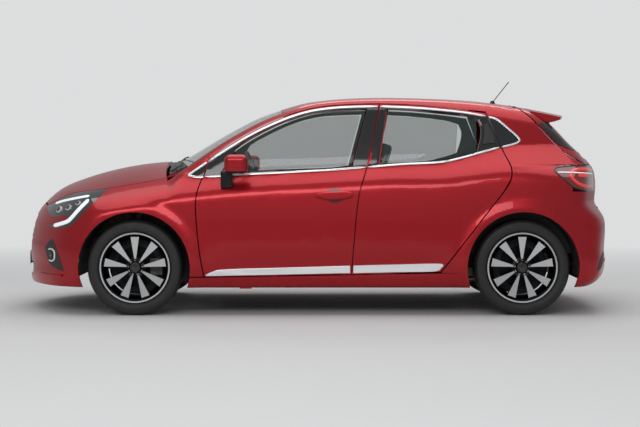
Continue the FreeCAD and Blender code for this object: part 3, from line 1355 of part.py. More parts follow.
def rim(label):
    """Alloy wheel with flared spokes and the brake disc behind them."""
    body = doc.addObject("PartDesign::Body", label)
    revolved(body, label + "_well", [
        ("rim_radius + 12", "-rim_width / 2"), ("rim_radius - 8", "-rim_width / 2"),
        ("rim_radius - 26", "-rim_width / 2 + 25"), ("rim_radius - 28", "rim_width / 2 - 45"),
        ("rim_radius - 10", "rim_width / 2 - 12"), ("rim_radius + 2", "rim_width / 2"),
        ("rim_radius + 12", "rim_width / 2"), ("rim_radius + 12", "rim_width / 2 - 8"),
        ("rim_radius - 4", "rim_width / 2 - 9"), ("rim_radius - 4", "rim_width / 2 - 40"),
        ("rim_radius - 20", "rim_width / 2 - 60"), ("rim_radius - 20", "-rim_width / 2 + 45"),
        ("rim_radius - 4", "-rim_width / 2 + 20"), ("rim_radius - 4", "-rim_width / 2 + 8"),
        ("rim_radius + 12", "-rim_width / 2 + 7"),
    ])
    revolved(body, label + "_hub", [
        ("spindle_radius + running_gap", "-disc_inset - disc_thickness / 2"),
        ("disc_radius", "-disc_inset - disc_thickness / 2"), ("disc_radius", "-disc_inset + disc_thickness / 2"),
        ("hub_radius", "-disc_inset + disc_thickness / 2"), ("hub_radius", "48"), ("hub_radius - 18", "56"),
        ("34", "56"), ("30", "64"), ("0", "64"), ("0", "52"), ("spindle_radius + running_gap", "52"),
    ])
    root = outline_sketch(body, label + "_spoke_root", [
        ("-spoke_root / 2", "22"), ("spoke_root / 2", "22"), ("spoke_root / 2", "60"), ("-spoke_root / 2", "60"),
    ], "hub_radius - 12")
    tip = outline_sketch(body, label + "_spoke_tip", [
        ("-spoke_flare / 2", "rim_width / 2 - 56"), ("spoke_flare / 2", "rim_width / 2 - 56"),
        ("spoke_flare / 2", "rim_width / 2 - 16"), ("-spoke_flare / 2", "rim_width / 2 - 16"),
    ], "rim_radius - 17")
    spoke = body.newObject("PartDesign::AdditiveLoft", label + "_spoke")
    spoke.Profile = root
    spoke.Sections = [tip]
    spoke.Ruled = True
    ring = body.newObject("PartDesign::PolarPattern", label + "_spokes")
    ring.Originals = [spoke]
    ring.Axis = (plane_of(body, "Y_Axis"), [""])
    ring.Angle = 360
    ring.setExpression("Occurrences", bound("spoke_count"))
    body.Tip = ring
    return body


def tyre(label):
    """Tyre with rounded shoulders and bulging walls."""
    body = doc.addObject("PartDesign::Body", label)
    half = [
        ("rim_radius - 4 + seat_clearance", "rim_width / 2 - 9.5"), ("rim_radius + 14", "rim_width / 2 - 8.5"),
        ("rim_radius + 28", "tyre_width / 2 - 4"), ("rim_radius + 45", "tyre_width / 2"),
        ("rim_radius + 62", "tyre_width / 2 - 1"), ("tyre_radius - 16", "tyre_width / 2 - 7"),
        ("tyre_radius - 5", "tyre_width / 2 - 22"), ("tyre_radius", "tyre_width / 2 - 45"),
    ]
    other = [(radius, "-(" + width + ")") for radius, width in reversed(half)]
    revolved(body, label + "_carcass", half + other)
    return body


for name, hub, track, facing in (
    ("front_left", FRONT_AXLE, size("track_front"), 1), ("front_right", FRONT_AXLE, size("track_front"), -1),
    ("rear_left", REAR_AXLE, size("track_rear"), 1), ("rear_right", REAR_AXLE, size("track_rear"), -1),
):
    spot = Placement(Vector(hub, facing * track / 2, WHEEL_Z), Rotation(90 - 90 * facing, 0, 0))
    for item in (rim("rim_" + name), tyre("tyre_" + name)):
        item.Placement = spot
        parts.append(item)

# Mirrors, wipers and antenna


def mirror_housing():
    """Door mirror with its foot on the door's shoulder."""
    head = box(FRONT_AXLE - 760, FRONT_AXLE - 605, 845, 993, 945, 1070)
    head = head.makeFillet(38, head.Edges)
    foot = box(FRONT_AXLE - 655, FRONT_AXLE - 575, 800, 880, 850, 965)
    foot = foot.makeFillet(12, foot.Edges)
    near_skin = slab(section_rays(spread(FRONT_AXLE - 900, FRONT_AXLE - 450, 12), 5, 40, 24), -260, -0.8)
    return largest(head.fuse(foot).common(near_skin).cut(front_door.translated(Vector(0, SEAT, 0))))


both_sides("mirror", mirror_housing())


def screen_edge(y):
    """Lower edge of the windscreen in plan."""
    return screen_base + 30 * (1 - (y / 711.0) ** 2)


def wiper(y, length):
    """Wiper arm and blade lying over the glass, with its pivot on the cowl."""
    foot = Vector(screen_edge(y) + 28, y, 0)
    foot.z = top_height(foot.x, abs(y)) - 12
    spots = [foot + Vector(0, 0, 10)]
    for share in spread(0, 1, 7):
        across = y - 12 - (length - 12) * share
        x = screen_edge(across) - 14 - 34 * share
        spots.append(Vector(x, across, top_height(x, abs(across)) + 9))
    arm = Part.Wire([Part.makeLine(first, last) for first, last in zip(spots, spots[1:])])
    ring = Part.Wire(Part.makeCircle(5, spots[0], spots[1] - spots[0]))
    sweep = Part.BRepOffsetAPI.MakePipeShell(arm)
    sweep.setTransitionMode(1)
    sweep.add(ring)
    sweep.build()
    sweep.makeSolid()
    return largest(sweep.shape().fuse(Part.makeCylinder(9, 15, foot)).cut(cowl_bed))


cowl_bed = slab(section_rays(cowl_stations, 25, 155, 33), 5 - SEAT, 50)
piece("wipers", Part.makeCompound([wiper(520, 560), wiper(-110, 420)]))

antenna_x = REAR_AXLE + 105
antenna_foot = Vector(antenna_x, 0, top_height(antenna_x, 0) - 4)
antenna_lean = Vector(-0.62, 0, 0.785)
base_cone = Part.makeCone(24, 12, 30, antenna_foot)
antenna_bed = slab(section_rays(spread(antenna_x - 60, antenna_x + 60, 7), 82, 98, 7), -SEAT, 20)
rod = Part.makeCylinder(3, 190, antenna_foot + Vector(0, 0, 18), antenna_lean)
piece("antenna", largest(base_cone.fuse(rod).cut(antenna_bed)))

# Check and export

doc.recompute()
os.makedirs("parts", exist_ok=True)
for item in doc.Objects:
    if "Invalid" in item.State or "Error" in item.State:
        raise RuntimeError(item.Label + " failed")
for item in parts:
    if item.Shape.isNull() or not item.Shape.isValid() or not item.Shape.Solids:
        raise RuntimeError(item.Label + " is not a valid shape")
for item in parts:
    item.Shape.exportStep("parts/" + item.Label + ".step")
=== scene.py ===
# %% [markdown]
# A small red hatchback, seen from its left side in a studio.
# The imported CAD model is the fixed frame: it gives every panel, glass and wheel its size and place.
# Here each of those gets its finish, and the pieces that only a render needs are modelled around them.

# %% Load the frame
import math

import bpy
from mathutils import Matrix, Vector
from mathutils.bvhtree import BVHTree


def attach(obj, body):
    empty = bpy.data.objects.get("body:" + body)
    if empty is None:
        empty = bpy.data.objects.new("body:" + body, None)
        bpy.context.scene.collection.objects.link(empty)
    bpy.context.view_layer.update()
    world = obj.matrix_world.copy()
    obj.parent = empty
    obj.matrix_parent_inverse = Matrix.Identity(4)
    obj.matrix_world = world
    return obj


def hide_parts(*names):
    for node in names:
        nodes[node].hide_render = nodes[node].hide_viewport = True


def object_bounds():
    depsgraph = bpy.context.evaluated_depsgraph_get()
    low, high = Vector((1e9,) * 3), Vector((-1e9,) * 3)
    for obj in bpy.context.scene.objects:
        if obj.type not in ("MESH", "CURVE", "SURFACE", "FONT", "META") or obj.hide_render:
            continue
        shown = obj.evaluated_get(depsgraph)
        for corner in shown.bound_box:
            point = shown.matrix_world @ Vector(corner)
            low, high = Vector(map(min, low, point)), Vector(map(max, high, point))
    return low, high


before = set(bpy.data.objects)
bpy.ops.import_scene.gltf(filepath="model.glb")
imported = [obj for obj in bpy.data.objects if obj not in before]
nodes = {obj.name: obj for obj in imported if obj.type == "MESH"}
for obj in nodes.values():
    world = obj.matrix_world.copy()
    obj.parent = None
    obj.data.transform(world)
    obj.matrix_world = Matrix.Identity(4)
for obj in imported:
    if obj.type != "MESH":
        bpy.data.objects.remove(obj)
cad_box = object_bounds()
scene = bpy.context.scene
print("CAD box", cad_box)

# %% [markdown]
# The camera stands far off the left side with a long lens, so the car keeps its proportions.
# It stands level with the foot of the windows and looks slightly down.

# %% Camera
CAMERA_AT = Vector((-0.046, 10.3, 1.04))
TILT = math.radians(2.18)
LENS, SENSOR_WIDTH, VIEW_DEPTH = 80.1, 36, 100
bpy.ops.object.camera_add(location=CAMERA_AT, rotation=(math.pi / 2 - TILT, 0, math.pi))
camera = bpy.context.object
camera.data.lens = LENS
camera.data.sensor_width = SENSOR_WIDTH
camera.data.clip_end = VIEW_DEPTH
scene.camera = camera
print("camera at", tuple(CAMERA_AT))

# %% [markdown]
# The sky lights the car evenly. The camera alone sees a plain grey backdrop in its place.

# %% Sky and backdrop
scene.view_settings.view_transform = "Standard"
BACKDROP = (0.72, 0.725, 0.73, 1)
SKY_COLOR, SKY_STRENGTH = (0.93, 0.95, 0.97, 1), 0.42
world = bpy.data.worlds.new("studio")
scene.world = world
world.use_nodes = True
sky = world.node_tree
sky.nodes["Background"].inputs["Color"].default_value = SKY_COLOR
sky.nodes["Background"].inputs["Strength"].default_value = SKY_STRENGTH
seen = sky.nodes.new("ShaderNodeBackground")
seen.inputs["Color"].default_value = BACKDROP
which_ray = sky.nodes.new("ShaderNodeLightPath")
choice = sky.nodes.new("ShaderNodeMixShader")
sky.links.new(which_ray.outputs["Is Camera Ray"], choice.inputs["Fac"])
sky.links.new(sky.nodes["Background"].outputs[0], choice.inputs[1])
sky.links.new(seen.outputs[0], choice.inputs[2])
sky.links.new(choice.outputs[0], sky.nodes["World Output"].inputs["Surface"])
print("sky ready")

# %% [markdown]
# Three soft area lamps give long, calm reflections along the glossy body.
# The floor is one large sheet just under the tyres.

# %% Lamps and floor
FLOOR_SIZE, FLOOR_GAP = 60, 0.0005


def lamp(name, place, aim, size, power):
    """Soft area lamp that points at a spot."""
    bpy.ops.object.light_add(type="AREA", location=place)
    light = bpy.context.object
    light.name = name
    light.data.shape = "RECTANGLE"
    light.data.size, light.data.size_y = size
    light.data.energy = power
    light.rotation_euler = (Vector(aim) - Vector(place)).to_track_quat("-Z", "Y").to_euler()


lamp("top_softbox", (0, 0.5, 6.0), (0, 0, 0), (8, 5), 190)
lamp("left_softbox", (1.5, 8.0, 4.2), (0, 0, 0.6), (7, 2.5), 210)
lamp("right_softbox", (-1.5, -6.5, 7.5), (0, 0, 0.6), (7, 3), 190)

bpy.ops.mesh.primitive_plane_add(size=FLOOR_SIZE)
floor = bpy.context.object
floor.name = "studio_floor"
floor.location.z = cad_box[0][2] - FLOOR_GAP
bpy.ops.object.transform_apply(location=True)
print("lamps and floor ready")

# %% [markdown]
# Every finish is a node material. Written node by node, shader maths gets long, so a small class
# wraps a socket: adding or multiplying two of them adds the Math node and returns its output.
# One method of a finish makes any other node from its type, its settings and its inputs.

# %% Shader helper


class Signal:
    """A number or colour that flows out of a node."""

    def __init__(self, finish, socket):
        self.finish, self.socket = finish, socket

    def math(self, operation, *others):
        return self.finish.node("ShaderNodeMath", {"operation": operation}, [self, *others])

    def __add__(self, other):
        return self.math("ADD", other)

    def __mul__(self, other):
        return self.math("MULTIPLY", other)

    def __sub__(self, other):
        return self.math("SUBTRACT", other)

    def __rsub__(self, other):
        return self.finish.node("ShaderNodeMath", {"operation": "SUBTRACT"}, [other, self])

    def __gt__(self, other):
        return self.math("GREATER_THAN", other)

    __radd__, __rmul__ = __add__, __mul__


class Finish:
    """A material with one Principled shader."""

    def __init__(self, name, color, roughness, metallic=0.0, **fixed):
        self.material = bpy.data.materials.new(name)
        self.material.use_nodes = True
        self.tree = self.material.node_tree
        self.shader = self.tree.nodes["Principled BSDF"]
        self.set("Base Color", (*color, 1.0))
        self.set("Roughness", roughness)
        self.set("Metallic", metallic)
        for socket, value in fixed.items():
            self.set(socket.replace("_", " "), value)

    def feed(self, socket, value):
        if isinstance(value, Signal):
            self.tree.links.new(value.socket, socket)
        else:
            socket.default_value = value

    def set(self, name, value):
        self.feed(self.shader.inputs[name], value)

    def node(self, kind, settings=None, inputs=(), output=0):
        """Any node: its settings first, then its inputs by place or by name."""
        made = self.tree.nodes.new(kind)
        for key, value in (settings or {}).items():
            if key == "stops":
                ramp = made.color_ramp.elements
                while len(ramp) < len(value):
                    ramp.new(0.5)
                for stop, (spot, shade) in zip(ramp, value):
                    stop.position, stop.color = spot, (*shade, 1.0)
            else:
                setattr(made, key, value)
        pairs = inputs.items() if isinstance(inputs, dict) else enumerate(inputs)
        for key, value in pairs:
            self.feed(made.inputs[key], value)
        return Signal(self, made.outputs[output])

    def place(self):
        return self.node("ShaderNodeTexCoord", output="Object")

    def parts(self, vector):
        """The three numbers of a vector."""
        outputs = self.node("ShaderNodeSeparateXYZ", inputs=[vector]).socket.node.outputs
        return [Signal(self, outputs[axis]) for axis in range(3)]

    def axes(self):
        """Where a point lies."""
        return self.parts(self.place())

    def facing(self):
        """Which way the surface faces."""
        return self.parts(self.node("ShaderNodeTexCoord", output="Normal"))

    def noise(self, scale, detail=3.0):
        inputs = {"Vector": self.place(), "Scale": scale, "Detail": detail}
        return self.node("ShaderNodeTexNoise", inputs=inputs)

    def ramp(self, value, stops):
        return self.node("ShaderNodeValToRGB", {"stops": stops}, [value])

    def blend(self, share, first, second):
        """Colour mix: share 0 gives the first."""
        mixed = self.node("ShaderNodeMix", {"data_type": "RGBA"}, {0: share}, output=2)
        made = mixed.socket.node
        for place, value in ((6, first), (7, second)):
            self.feed(made.inputs[place], value if isinstance(value, Signal) else (*value, 1.0))
        return mixed

    def bump(self, height, strength, distance):
        inputs = {"Height": height, "Strength": strength, "Distance": distance}
        self.set("Normal", self.node("ShaderNodeBump", inputs=inputs))

    def uneven(self, scale, spread, least):
        """Roughness that changes softly over the surface."""
        self.set("Roughness", self.noise(scale) * spread + least)

    def mottled(self, socket, scale, dark, light):
        """Colour that wanders between two shades."""
        self.set(socket, self.ramp(self.noise(scale), [(0.3, dark), (0.7, light)]))


# %% [markdown]
# Car paint is a coloured metallic base under a clear, glossy coat.
# Fine flakes vary the base colour a little, and a very fine orange peel bends the reflections.
# The mirror shells are painted up to a line and gloss black below it.

# %% Paint and plastics
RED, BLACK = (0.36, 0.003, 0.008), (0.006, 0.006, 0.007)
CLEAR_COAT = {"Coat_Weight": 0.45, "Coat_Roughness": 0.03}
CAP_SPLIT = 0.962

paint = Finish("red_paint", RED, 0.34, 0.7, **CLEAR_COAT)
flake = paint.noise(900, 2)
flake_shades = [(0.35, (0.32, 0.0015, 0.006)), (0.65, (0.44, 0.004, 0.013))]
paint.set("Base Color", paint.ramp(flake, flake_shades))
paint.bump(paint.noise(60, 1), 0.02, 0.002)

gloss_black = Finish("gloss_black", BLACK, 0.12, Coat_Weight=0.6, Coat_Roughness=0.04)
gloss_black.uneven(30, 0.06, 0.09)
dark_plastic = Finish("dark_plastic", (0.022, 0.022, 0.023), 0.55)
dark_plastic.bump(dark_plastic.noise(700), 0.25, 0.0004)
rubber = Finish("rubber", (0.012, 0.012, 0.012), 0.7)
rubber.bump(rubber.noise(300), 0.15, 0.0005)

mirror_cap = Finish("mirror_cap", RED, 0.34, 0.7, **CLEAR_COAT)
above_split = mirror_cap.axes()[2] > CAP_SPLIT
mirror_cap.set("Base Color", mirror_cap.blend(above_split, BLACK, (0.36, 0.003, 0.010)))
# The finger hollow behind the door handle is a flat sheet. Its darker red is painted shade that stands in for
# the recess.
hollow_shade_paint = Finish("hollow_shade_paint", (0.09, 0.001, 0.003), 0.3, 0.3, Coat_Weight=0.6)
hollow_shade_paint.uneven(40, 0.1, 0.25)
print("paint and plastics", len(bpy.data.materials))

# %% [markdown]
# Metals differ by their roughness and by how their surface varies: bright trim is smooth and even,
# steel and cast parts are mottled, and the exhaust pipe has dull and bright patches.

# %% Metals
chrome = Finish("chrome", (0.9, 0.91, 0.92), 0.2, 0.55)
chrome.uneven(40, 0.06, 0.17)
steel = Finish("steel", (0.05, 0.05, 0.052), 0.6, 0.4)
steel.mottled("Base Color", 14, (0.03, 0.03, 0.032), (0.08, 0.078, 0.076))
cast_metal = Finish("cast_metal", (0.16, 0.15, 0.14), 0.65, 0.8)
cast_metal.mottled("Base Color", 35, (0.10, 0.09, 0.08), (0.22, 0.2, 0.18))
cast_metal.bump(cast_metal.noise(220), 0.4, 0.001)
pipe_metal = Finish("pipe_metal", (0.35, 0.33, 0.30), 0.42, 1.0)
pipe_metal.uneven(20, 0.3, 0.28)
print("metals", len(bpy.data.materials))

# %% [markdown]
# Glass here is a thin tinted sheet. Letting part of the light straight through keeps the cabin visible,
# and the low roughness gives the sharp reflections of a clean pane.
# The front lamps are glossy dark housings with pale strips of light, the rear ones deep red.

# %% Glass and lamps
LAMP_GLOSS = {"Coat_Weight": 1.0, "Coat_Roughness": 0.02}
GLASS_TINT = (0.06, 0.105, 0.095)

tinted = Finish("tinted_glass", GLASS_TINT, 0.03, Coat_Weight=0.4, Coat_Roughness=0.02, Alpha=0.24)
tinted.uneven(5, 0.02, 0.02)
lamp_cover = Finish("lamp_cover", (0.02, 0.021, 0.024), 0.06, **LAMP_GLOSS)
lamp_cover.uneven(8, 0.02, 0.04)
daylight = Finish("daylight_strip", (0.86, 0.88, 0.9), 0.2, Emission_Strength=0.25)
daylight.mottled("Emission Color", 50, (0.8, 0.85, 0.9), (0.9, 0.95, 1.0))
plate_white = Finish("plate_white", (0.72, 0.72, 0.7), 0.4)
plate_white.uneven(60, 0.1, 0.35)
red_lens = Finish("red_lens", (0.17, 0.002, 0.004), 0.08, **LAMP_GLOSS)
red_lens.bump(red_lens.noise(160, 0), 0.12, 0.001)
print("glass and lamps", len(bpy.data.materials))

# %% [markdown]
# The seats are woven cloth: two crossed wave patterns give the threads.

# %% Cabin
THREADS = 1800

cloth = Finish("seat_cloth", (0.03, 0.03, 0.033), 0.92, Sheen_Weight=0.3)
across, along, up = cloth.axes()
weave = (along * THREADS).math("SINE") * (up * THREADS + across * THREADS).math("SINE")
thread_shades = [(0.2, (0.02, 0.02, 0.022)), (0.8, (0.065, 0.065, 0.07))]
cloth.set("Base Color", cloth.ramp(weave * 0.5 + 0.5, thread_shades))
cloth.bump(weave, 0.5, 0.0006)

print("materials", len(bpy.data.materials))

# %% [markdown]
# Near the car the floor is plain matt grey and takes the shadow.
# Further out it turns, for the camera alone, into the backdrop's own colour.

# %% Floor finish
LENGTHWISE_SHARE = 0.4
FADE_RATE, FADE_DELAY = 0.22, 0.55

ground = Finish("studio_grey", (0.62, 0.62, 0.62), 0.9)
over, away = ground.axes()[:2]
distance = (over * over * LENGTHWISE_SHARE + away * away).math("SQRT")
fade = (distance * FADE_RATE - FADE_DELAY).math("MAXIMUM", 0).math("MINIMUM", 1)
glow = ground.node("ShaderNodeEmission", inputs={"Color": BACKDROP})
ray = ground.node("ShaderNodeLightPath")
lit = Signal(ground, ground.shader.outputs[0])
mixed = ground.node("ShaderNodeMixShader", inputs=[fade * ray, lit, glow])
ground.tree.links.new(mixed.socket, ground.tree.nodes["Material Output"].inputs["Surface"])
floor.data.materials.append(ground.material)
print("floor finish ready")

# %% [markdown]
# Wheel alloy: the faces that look outward are machined bright, with fine turning rings,
# and the sides of the spokes and the pockets between them are painted black.
# The way a surface faces picks one or the other.

# %% Wheel finish
TRACK_SPOTS = {"front": (1.188, 0.7545), "rear": (-1.395, 0.7495)}
HUB_HEIGHT = 0.318
SPOKE_STEP = math.radians(40)
CAP_EDGE, RIM_LIP = 0.045, 0.196
FACES_FROM, SQUARE_ON = 0.775, 0.95
FLARE_FROM, FLARE_RATE, FLARE_LEAST = 0.05, 0.17, 0.007
TURNING_MARKS, SIDEWALL_RINGS = 4200, 900
RINGS_FROM, RINGS_TO = 0.262, 0.285


def from_hub(finish, hub_x):
    """Distance of each point from a wheel's axis."""
    x, z = finish.axes()[::2]
    dx, dz = x - hub_x, z - HUB_HEIGHT
    return (dx * dx + dz * dz).math("SQRT")


def alloy(name, hub_x):
    """Machined faces on the spokes and the rim's lip, black paint everywhere else."""
    finish = Finish(name, (0.7, 0.71, 0.72), 0.22, 1.0)
    outward = finish.facing()[1].math("ABSOLUTE")
    radius = from_hub(finish, hub_x)
    x, y, z = finish.axes()
    turn = (z - HUB_HEIGHT).math("ARCTAN2", x - hub_x)
    aside = ((turn - math.pi / 2) * (1 / SPOKE_STEP) + 10.5).math("FRACT") - 0.5
    off_middle = (aside * SPOKE_STEP * radius).math("ABSOLUTE")
    flare = (radius - FLARE_FROM) * FLARE_RATE + FLARE_LEAST
    on_spoke = (flare > off_middle).math("MAXIMUM", radius > RIM_LIP)
    in_front = y.math("ABSOLUTE") > FACES_FROM
    bright = (outward > SQUARE_ON) * (radius > CAP_EDGE) * on_spoke * in_front
    shade = finish.blend(bright, (0.012, 0.012, 0.013), (0.62, 0.63, 0.64))
    finish.set("Base Color", shade)
    rings = (radius * TURNING_MARKS).math("SINE")
    finish.set("Roughness", bright * (rings * 0.05 - 0.12) + 0.34)
    return finish


def tyre_rubber(name, hub_x):
    """Matt rubber with fine rings low on the sidewall."""
    finish = Finish(name, (0.013, 0.013, 0.013), 0.62)
    radius = from_hub(finish, hub_x)
    between = (radius > RINGS_FROM) * radius.math("LESS_THAN", RINGS_TO)
    ridge = (radius * SIDEWALL_RINGS).math("SINE") * between
    finish.uneven(25, 0.2, 0.52)
    finish.bump(ridge * 0.4 + finish.noise(500) * 0.3, 0.4, 0.001)
    return finish


wheel_alloy = {end: alloy("alloy_" + end, x) for end, (x, y) in TRACK_SPOTS.items()}
wheel_rubber = {end: tyre_rubber("tyre_rubber_" + end, x) for end, (x, y) in TRACK_SPOTS.items()}
print("wheel finishes", len(wheel_alloy) + len(wheel_rubber))

# %% [markdown]
# The CAD pieces whose shape is already right keep it and only take their finish.

# %% Finish the CAD pieces


def dress(node, finish):
    """Gives a CAD piece its finish."""
    for slot in nodes[node].material_slots:
        slot.material = finish.material


SIDES = (("left", 1), ("right", -1))
SINGLE_PIECES = {
    "roof_panel": paint, "bonnet": paint, "tailgate": paint, "spoiler": paint, "front_bumper": paint,
    "rear_bumper": paint, "windscreen": tinted, "tailgate_glass": tinted, "cowl_panel": dark_plastic,
    "grille": gloss_black, "floor_pan": steel, "wheel_liners": dark_plastic, "front_structure": steel,
    "rear_axle": cast_metal, "exhaust": pipe_metal, "fuel_tank": dark_plastic, "engine_block": cast_metal,
    "front_seats": cloth, "rear_bench": cloth, "dashboard": dark_plastic, "wipers": dark_plastic,
    "antenna": rubber, "steering_wheel": dark_plastic,
}
PAIRED_PIECES = {
    "body_side_": paint, "fender_": paint, "door_front_": paint, "door_rear_": paint, "glass_front_": tinted,
    "glass_rear_": tinted, "headlamp_": lamp_cover, "tail_lamp_": red_lens, "mirror_": mirror_cap,
    "knuckle_": cast_metal,
}
for node, finish in SINGLE_PIECES.items():
    dress(node, finish)
for side, sign in SIDES:
    for stem, finish in PAIRED_PIECES.items():
        dress(stem + side, finish)
    for end in TRACK_SPOTS:
        dress("rim_%s_%s" % (end, side), wheel_alloy[end])
        dress("tyre_%s_%s" % (end, side), wheel_rubber[end])
print("CAD pieces finished")

# %% [markdown]
# Trim is laid on the finished body, so each of its points is sent along a ray to the skin under it.
# Where the ray falls into a gap between two panels, the skin beside the gap gives the depth.

# %% Helpers that find the skin
PANELS = ["roof_panel", "bonnet", "tailgate", "spoiler", "front_bumper", "rear_bumper", "cowl_panel",
          "windscreen", "tailgate_glass", "grille"]
PAIRED_PANELS = ("body_side_", "fender_", "door_front_", "door_rear_", "headlamp_", "tail_lamp_",
                 "glass_front_", "glass_rear_")
PANELS += [stem + side for stem in PAIRED_PANELS for side, sign in SIDES]
FAR, SIDE_STOP = 3.0, 0.35
END_FAR, END_REACH = 4, 2.9
GAP_STEPS = (0, 0.005, 0.010, 0.020, 0.040, 0.080)


def surface_of(names):
    """Search tree over the meshes of several CAD pieces."""
    points, faces = [], []
    for name in names:
        mesh = nodes[name].data
        start = len(points)
        points.extend(vertex.co.copy() for vertex in mesh.vertices)
        faces.extend([start + corner for corner in face.vertices] for face in mesh.polygons)
    return BVHTree.FromPolygons(points, faces)


skin = surface_of(PANELS)


def laid(origin, heading, reach, lift):
    """Point on the skin along a ray, lifted off it; over a gap it takes the depth beside the gap."""
    beside = Vector((heading.y, heading.x, 0))
    above = Vector((0, 0, 1))
    for step in GAP_STEPS:
        depths = []
        for shift in (beside, -beside, above, -above):
            spot = skin.ray_cast(origin + shift * step, heading, reach)[0]
            if spot is not None:
                depths.append((spot - origin).dot(heading))
        if depths:
            return origin + heading * (min(depths) - lift)
    return origin + heading * reach


def on_side(sign):
    """Puts points on the car's side."""
    reach = FAR - SIDE_STOP
    return lambda x, z, lift: laid(Vector((x, sign * FAR, z)), Vector((0, -sign, 0)), reach, lift)


def on_end(end):
    """Puts points on the car's nose or tail."""
    return lambda y, z, lift: laid(Vector((end * END_FAR, y, z)), Vector((-end, 0, 0)), END_REACH, lift)


def on_node(node, sign, far=FAR, reach=FAR, guess=0.7):
    """Puts points on one CAD piece, seen from the side."""
    tree = surface_of([node])

    def place(x, z, lift):
        spot = tree.ray_cast(Vector((x, sign * far, z)), Vector((0, -sign, 0)), reach)[0]
        if spot is None:
            near = tree.find_nearest(Vector((x, sign * guess, z)))[0]
            spot = Vector((x, near.y, z))
        return spot + Vector((0, sign * lift, 0))
    return place


print("skin ready")

# %% [markdown]
# Trim follows drawn lines. A line bends smoothly through its points, whatever their spacing.

# %% Helper for drawn lines


def line_through(points):
    """Smooth line through drawn points, as a function of the share of its length."""
    spots = [Vector((*point, 0)) for point in points]
    lengths = [0]
    for first, second in zip(spots, spots[1:]):
        lengths.append(lengths[-1] + (second - first).length)
    ends = [2 * spots[0] - spots[1]] + spots + [2 * spots[-1] - spots[-2]]

    def at(share):
        target = share * lengths[-1]
        step = 0
        while step < len(spots) - 2 and lengths[step + 1] < target:
            step += 1
        t = (target - lengths[step]) / max(lengths[step + 1] - lengths[step], 1e-9)
        before, first, second, after = ends[step:step + 4]
        lead, trail = (second - before) / 2, (after - first) / 2
        spot = (first * (2 * t ** 3 - 3 * t * t + 1) + lead * (t ** 3 - 2 * t * t + t)
                + second * (3 * t * t - 2 * t ** 3) + trail * (t ** 3 - t * t))
        return spot.x, spot.y
    return at


# %% [markdown]
# The tools below do what a modeller does by hand: pick a piece, run one tool on it, soften its edges
# with Bevel, and hand it over with its material and the body that it rides on.

# %% Helpers that handle a piece
EDGE_ANGLE = math.radians(50)


def alone(piece):
    """Selects one piece and nothing else."""
    bpy.ops.object.select_all(action="DESELECT")
    piece.select_set(True)
    bpy.context.view_layer.objects.active = piece


def added(name, operator, **settings):
    """Adds a primitive and names it."""
    bpy.ops.object.select_all(action="DESELECT")
    operator(**settings)
    piece = bpy.context.object
    piece.name = name
    return piece


def apply_modifier(piece, kind, **settings):
    """Runs one modifier on a piece and keeps its result."""
    alone(piece)
    modifier = piece.modifiers.new(kind.title(), kind)
    for key, value in settings.items():
        setattr(modifier, key, value)
    bpy.ops.object.modifier_apply(modifier=modifier.name)


def softened(piece, width, segments=2):
    """Rounds the sharp edges."""
    apply_modifier(piece, "BEVEL", width=width, segments=segments, limit_method="ANGLE",
                   angle_limit=EDGE_ANGLE)
    return piece


def in_edit(piece, *steps):
    """Runs mesh operators on the whole piece in edit mode."""
    alone(piece)
    bpy.ops.object.mode_set(mode="EDIT")
    bpy.ops.mesh.select_all(action="SELECT")
    for step in steps:
        step()
    bpy.ops.object.mode_set(mode="OBJECT")


def outward():
    """Turns every face to look outward."""
    bpy.ops.mesh.normals_make_consistent(inside=False)


def finished(piece, finish, body, angle=35):
    """Gives a piece its material, its smooth faces and the body that it rides on."""
    alone(piece)
    bpy.ops.object.transform_apply(location=True, rotation=True, scale=True)
    piece.data.materials.clear()
    piece.data.materials.append(finish.material)
    bpy.ops.object.shade_smooth_by_angle(angle=math.radians(angle))
    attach(piece, body)


print("handling tools ready")

# %% [markdown]
# A sheet starts as a flat grid, is bent between two drawn lines on the body, and gets its thickness
# with Solidify. A ribbon is a narrow sheet along one line, and grows thin at both ends.

# %% Helpers that shape a sheet
TIP_SHARE, TIP_GROWTH, GLANCE = 0.25, 18, 0.004


def patch(name, low, high, put, lift, depth, cells):
    """Thin sheet between two drawn lines, laid on the body."""
    piece = added(name, bpy.ops.mesh.primitive_grid_add, size=2,
                  x_subdivisions=cells[0], y_subdivisions=cells[1])
    first, second = line_through(low), line_through(high)
    for vertex in piece.data.vertices:
        along, across = (vertex.co.x + 1) / 2, (vertex.co.y + 1) / 2
        start, end = first(along), second(along)
        spot = [start[axis] + (end[axis] - start[axis]) * across for axis in (0, 1)]
        vertex.co = put(spot[0], spot[1], lift)
    apply_modifier(piece, "SOLIDIFY", thickness=depth, offset=0)
    in_edit(piece, outward)
    return piece


def ribbon(name, line, width, put, lift, depth, steps, bevel=0.0012):
    """Narrow strip along a drawn line, with rounded edges."""
    at = line_through(line)
    inner, outer = [], []
    for step in range(steps + 1):
        share = step / steps
        before, after = Vector(at(max(share - GLANCE, 0))), Vector(at(min(share + GLANCE, 1)))
        across = (after - before).normalized()
        here = Vector(at(share))
        swell = min(1, TIP_SHARE + TIP_GROWTH * min(share, 1 - share))
        offset = Vector((-across.y, across.x)) * width / 2 * swell
        inner.append(tuple(here - offset))
        outer.append(tuple(here + offset))
    return softened(patch(name, inner, outer, put, lift, depth, (steps, 2)), bevel)


print("sheet tools ready")

# %% [markdown]
# The window line is one long shape: bright trim all round it, and gloss black between the panes,
# which hides the door frames. Its parts end at the shut lines, so that each one swings with its own door.
# A black area lies between two lines; a bright bead follows one.

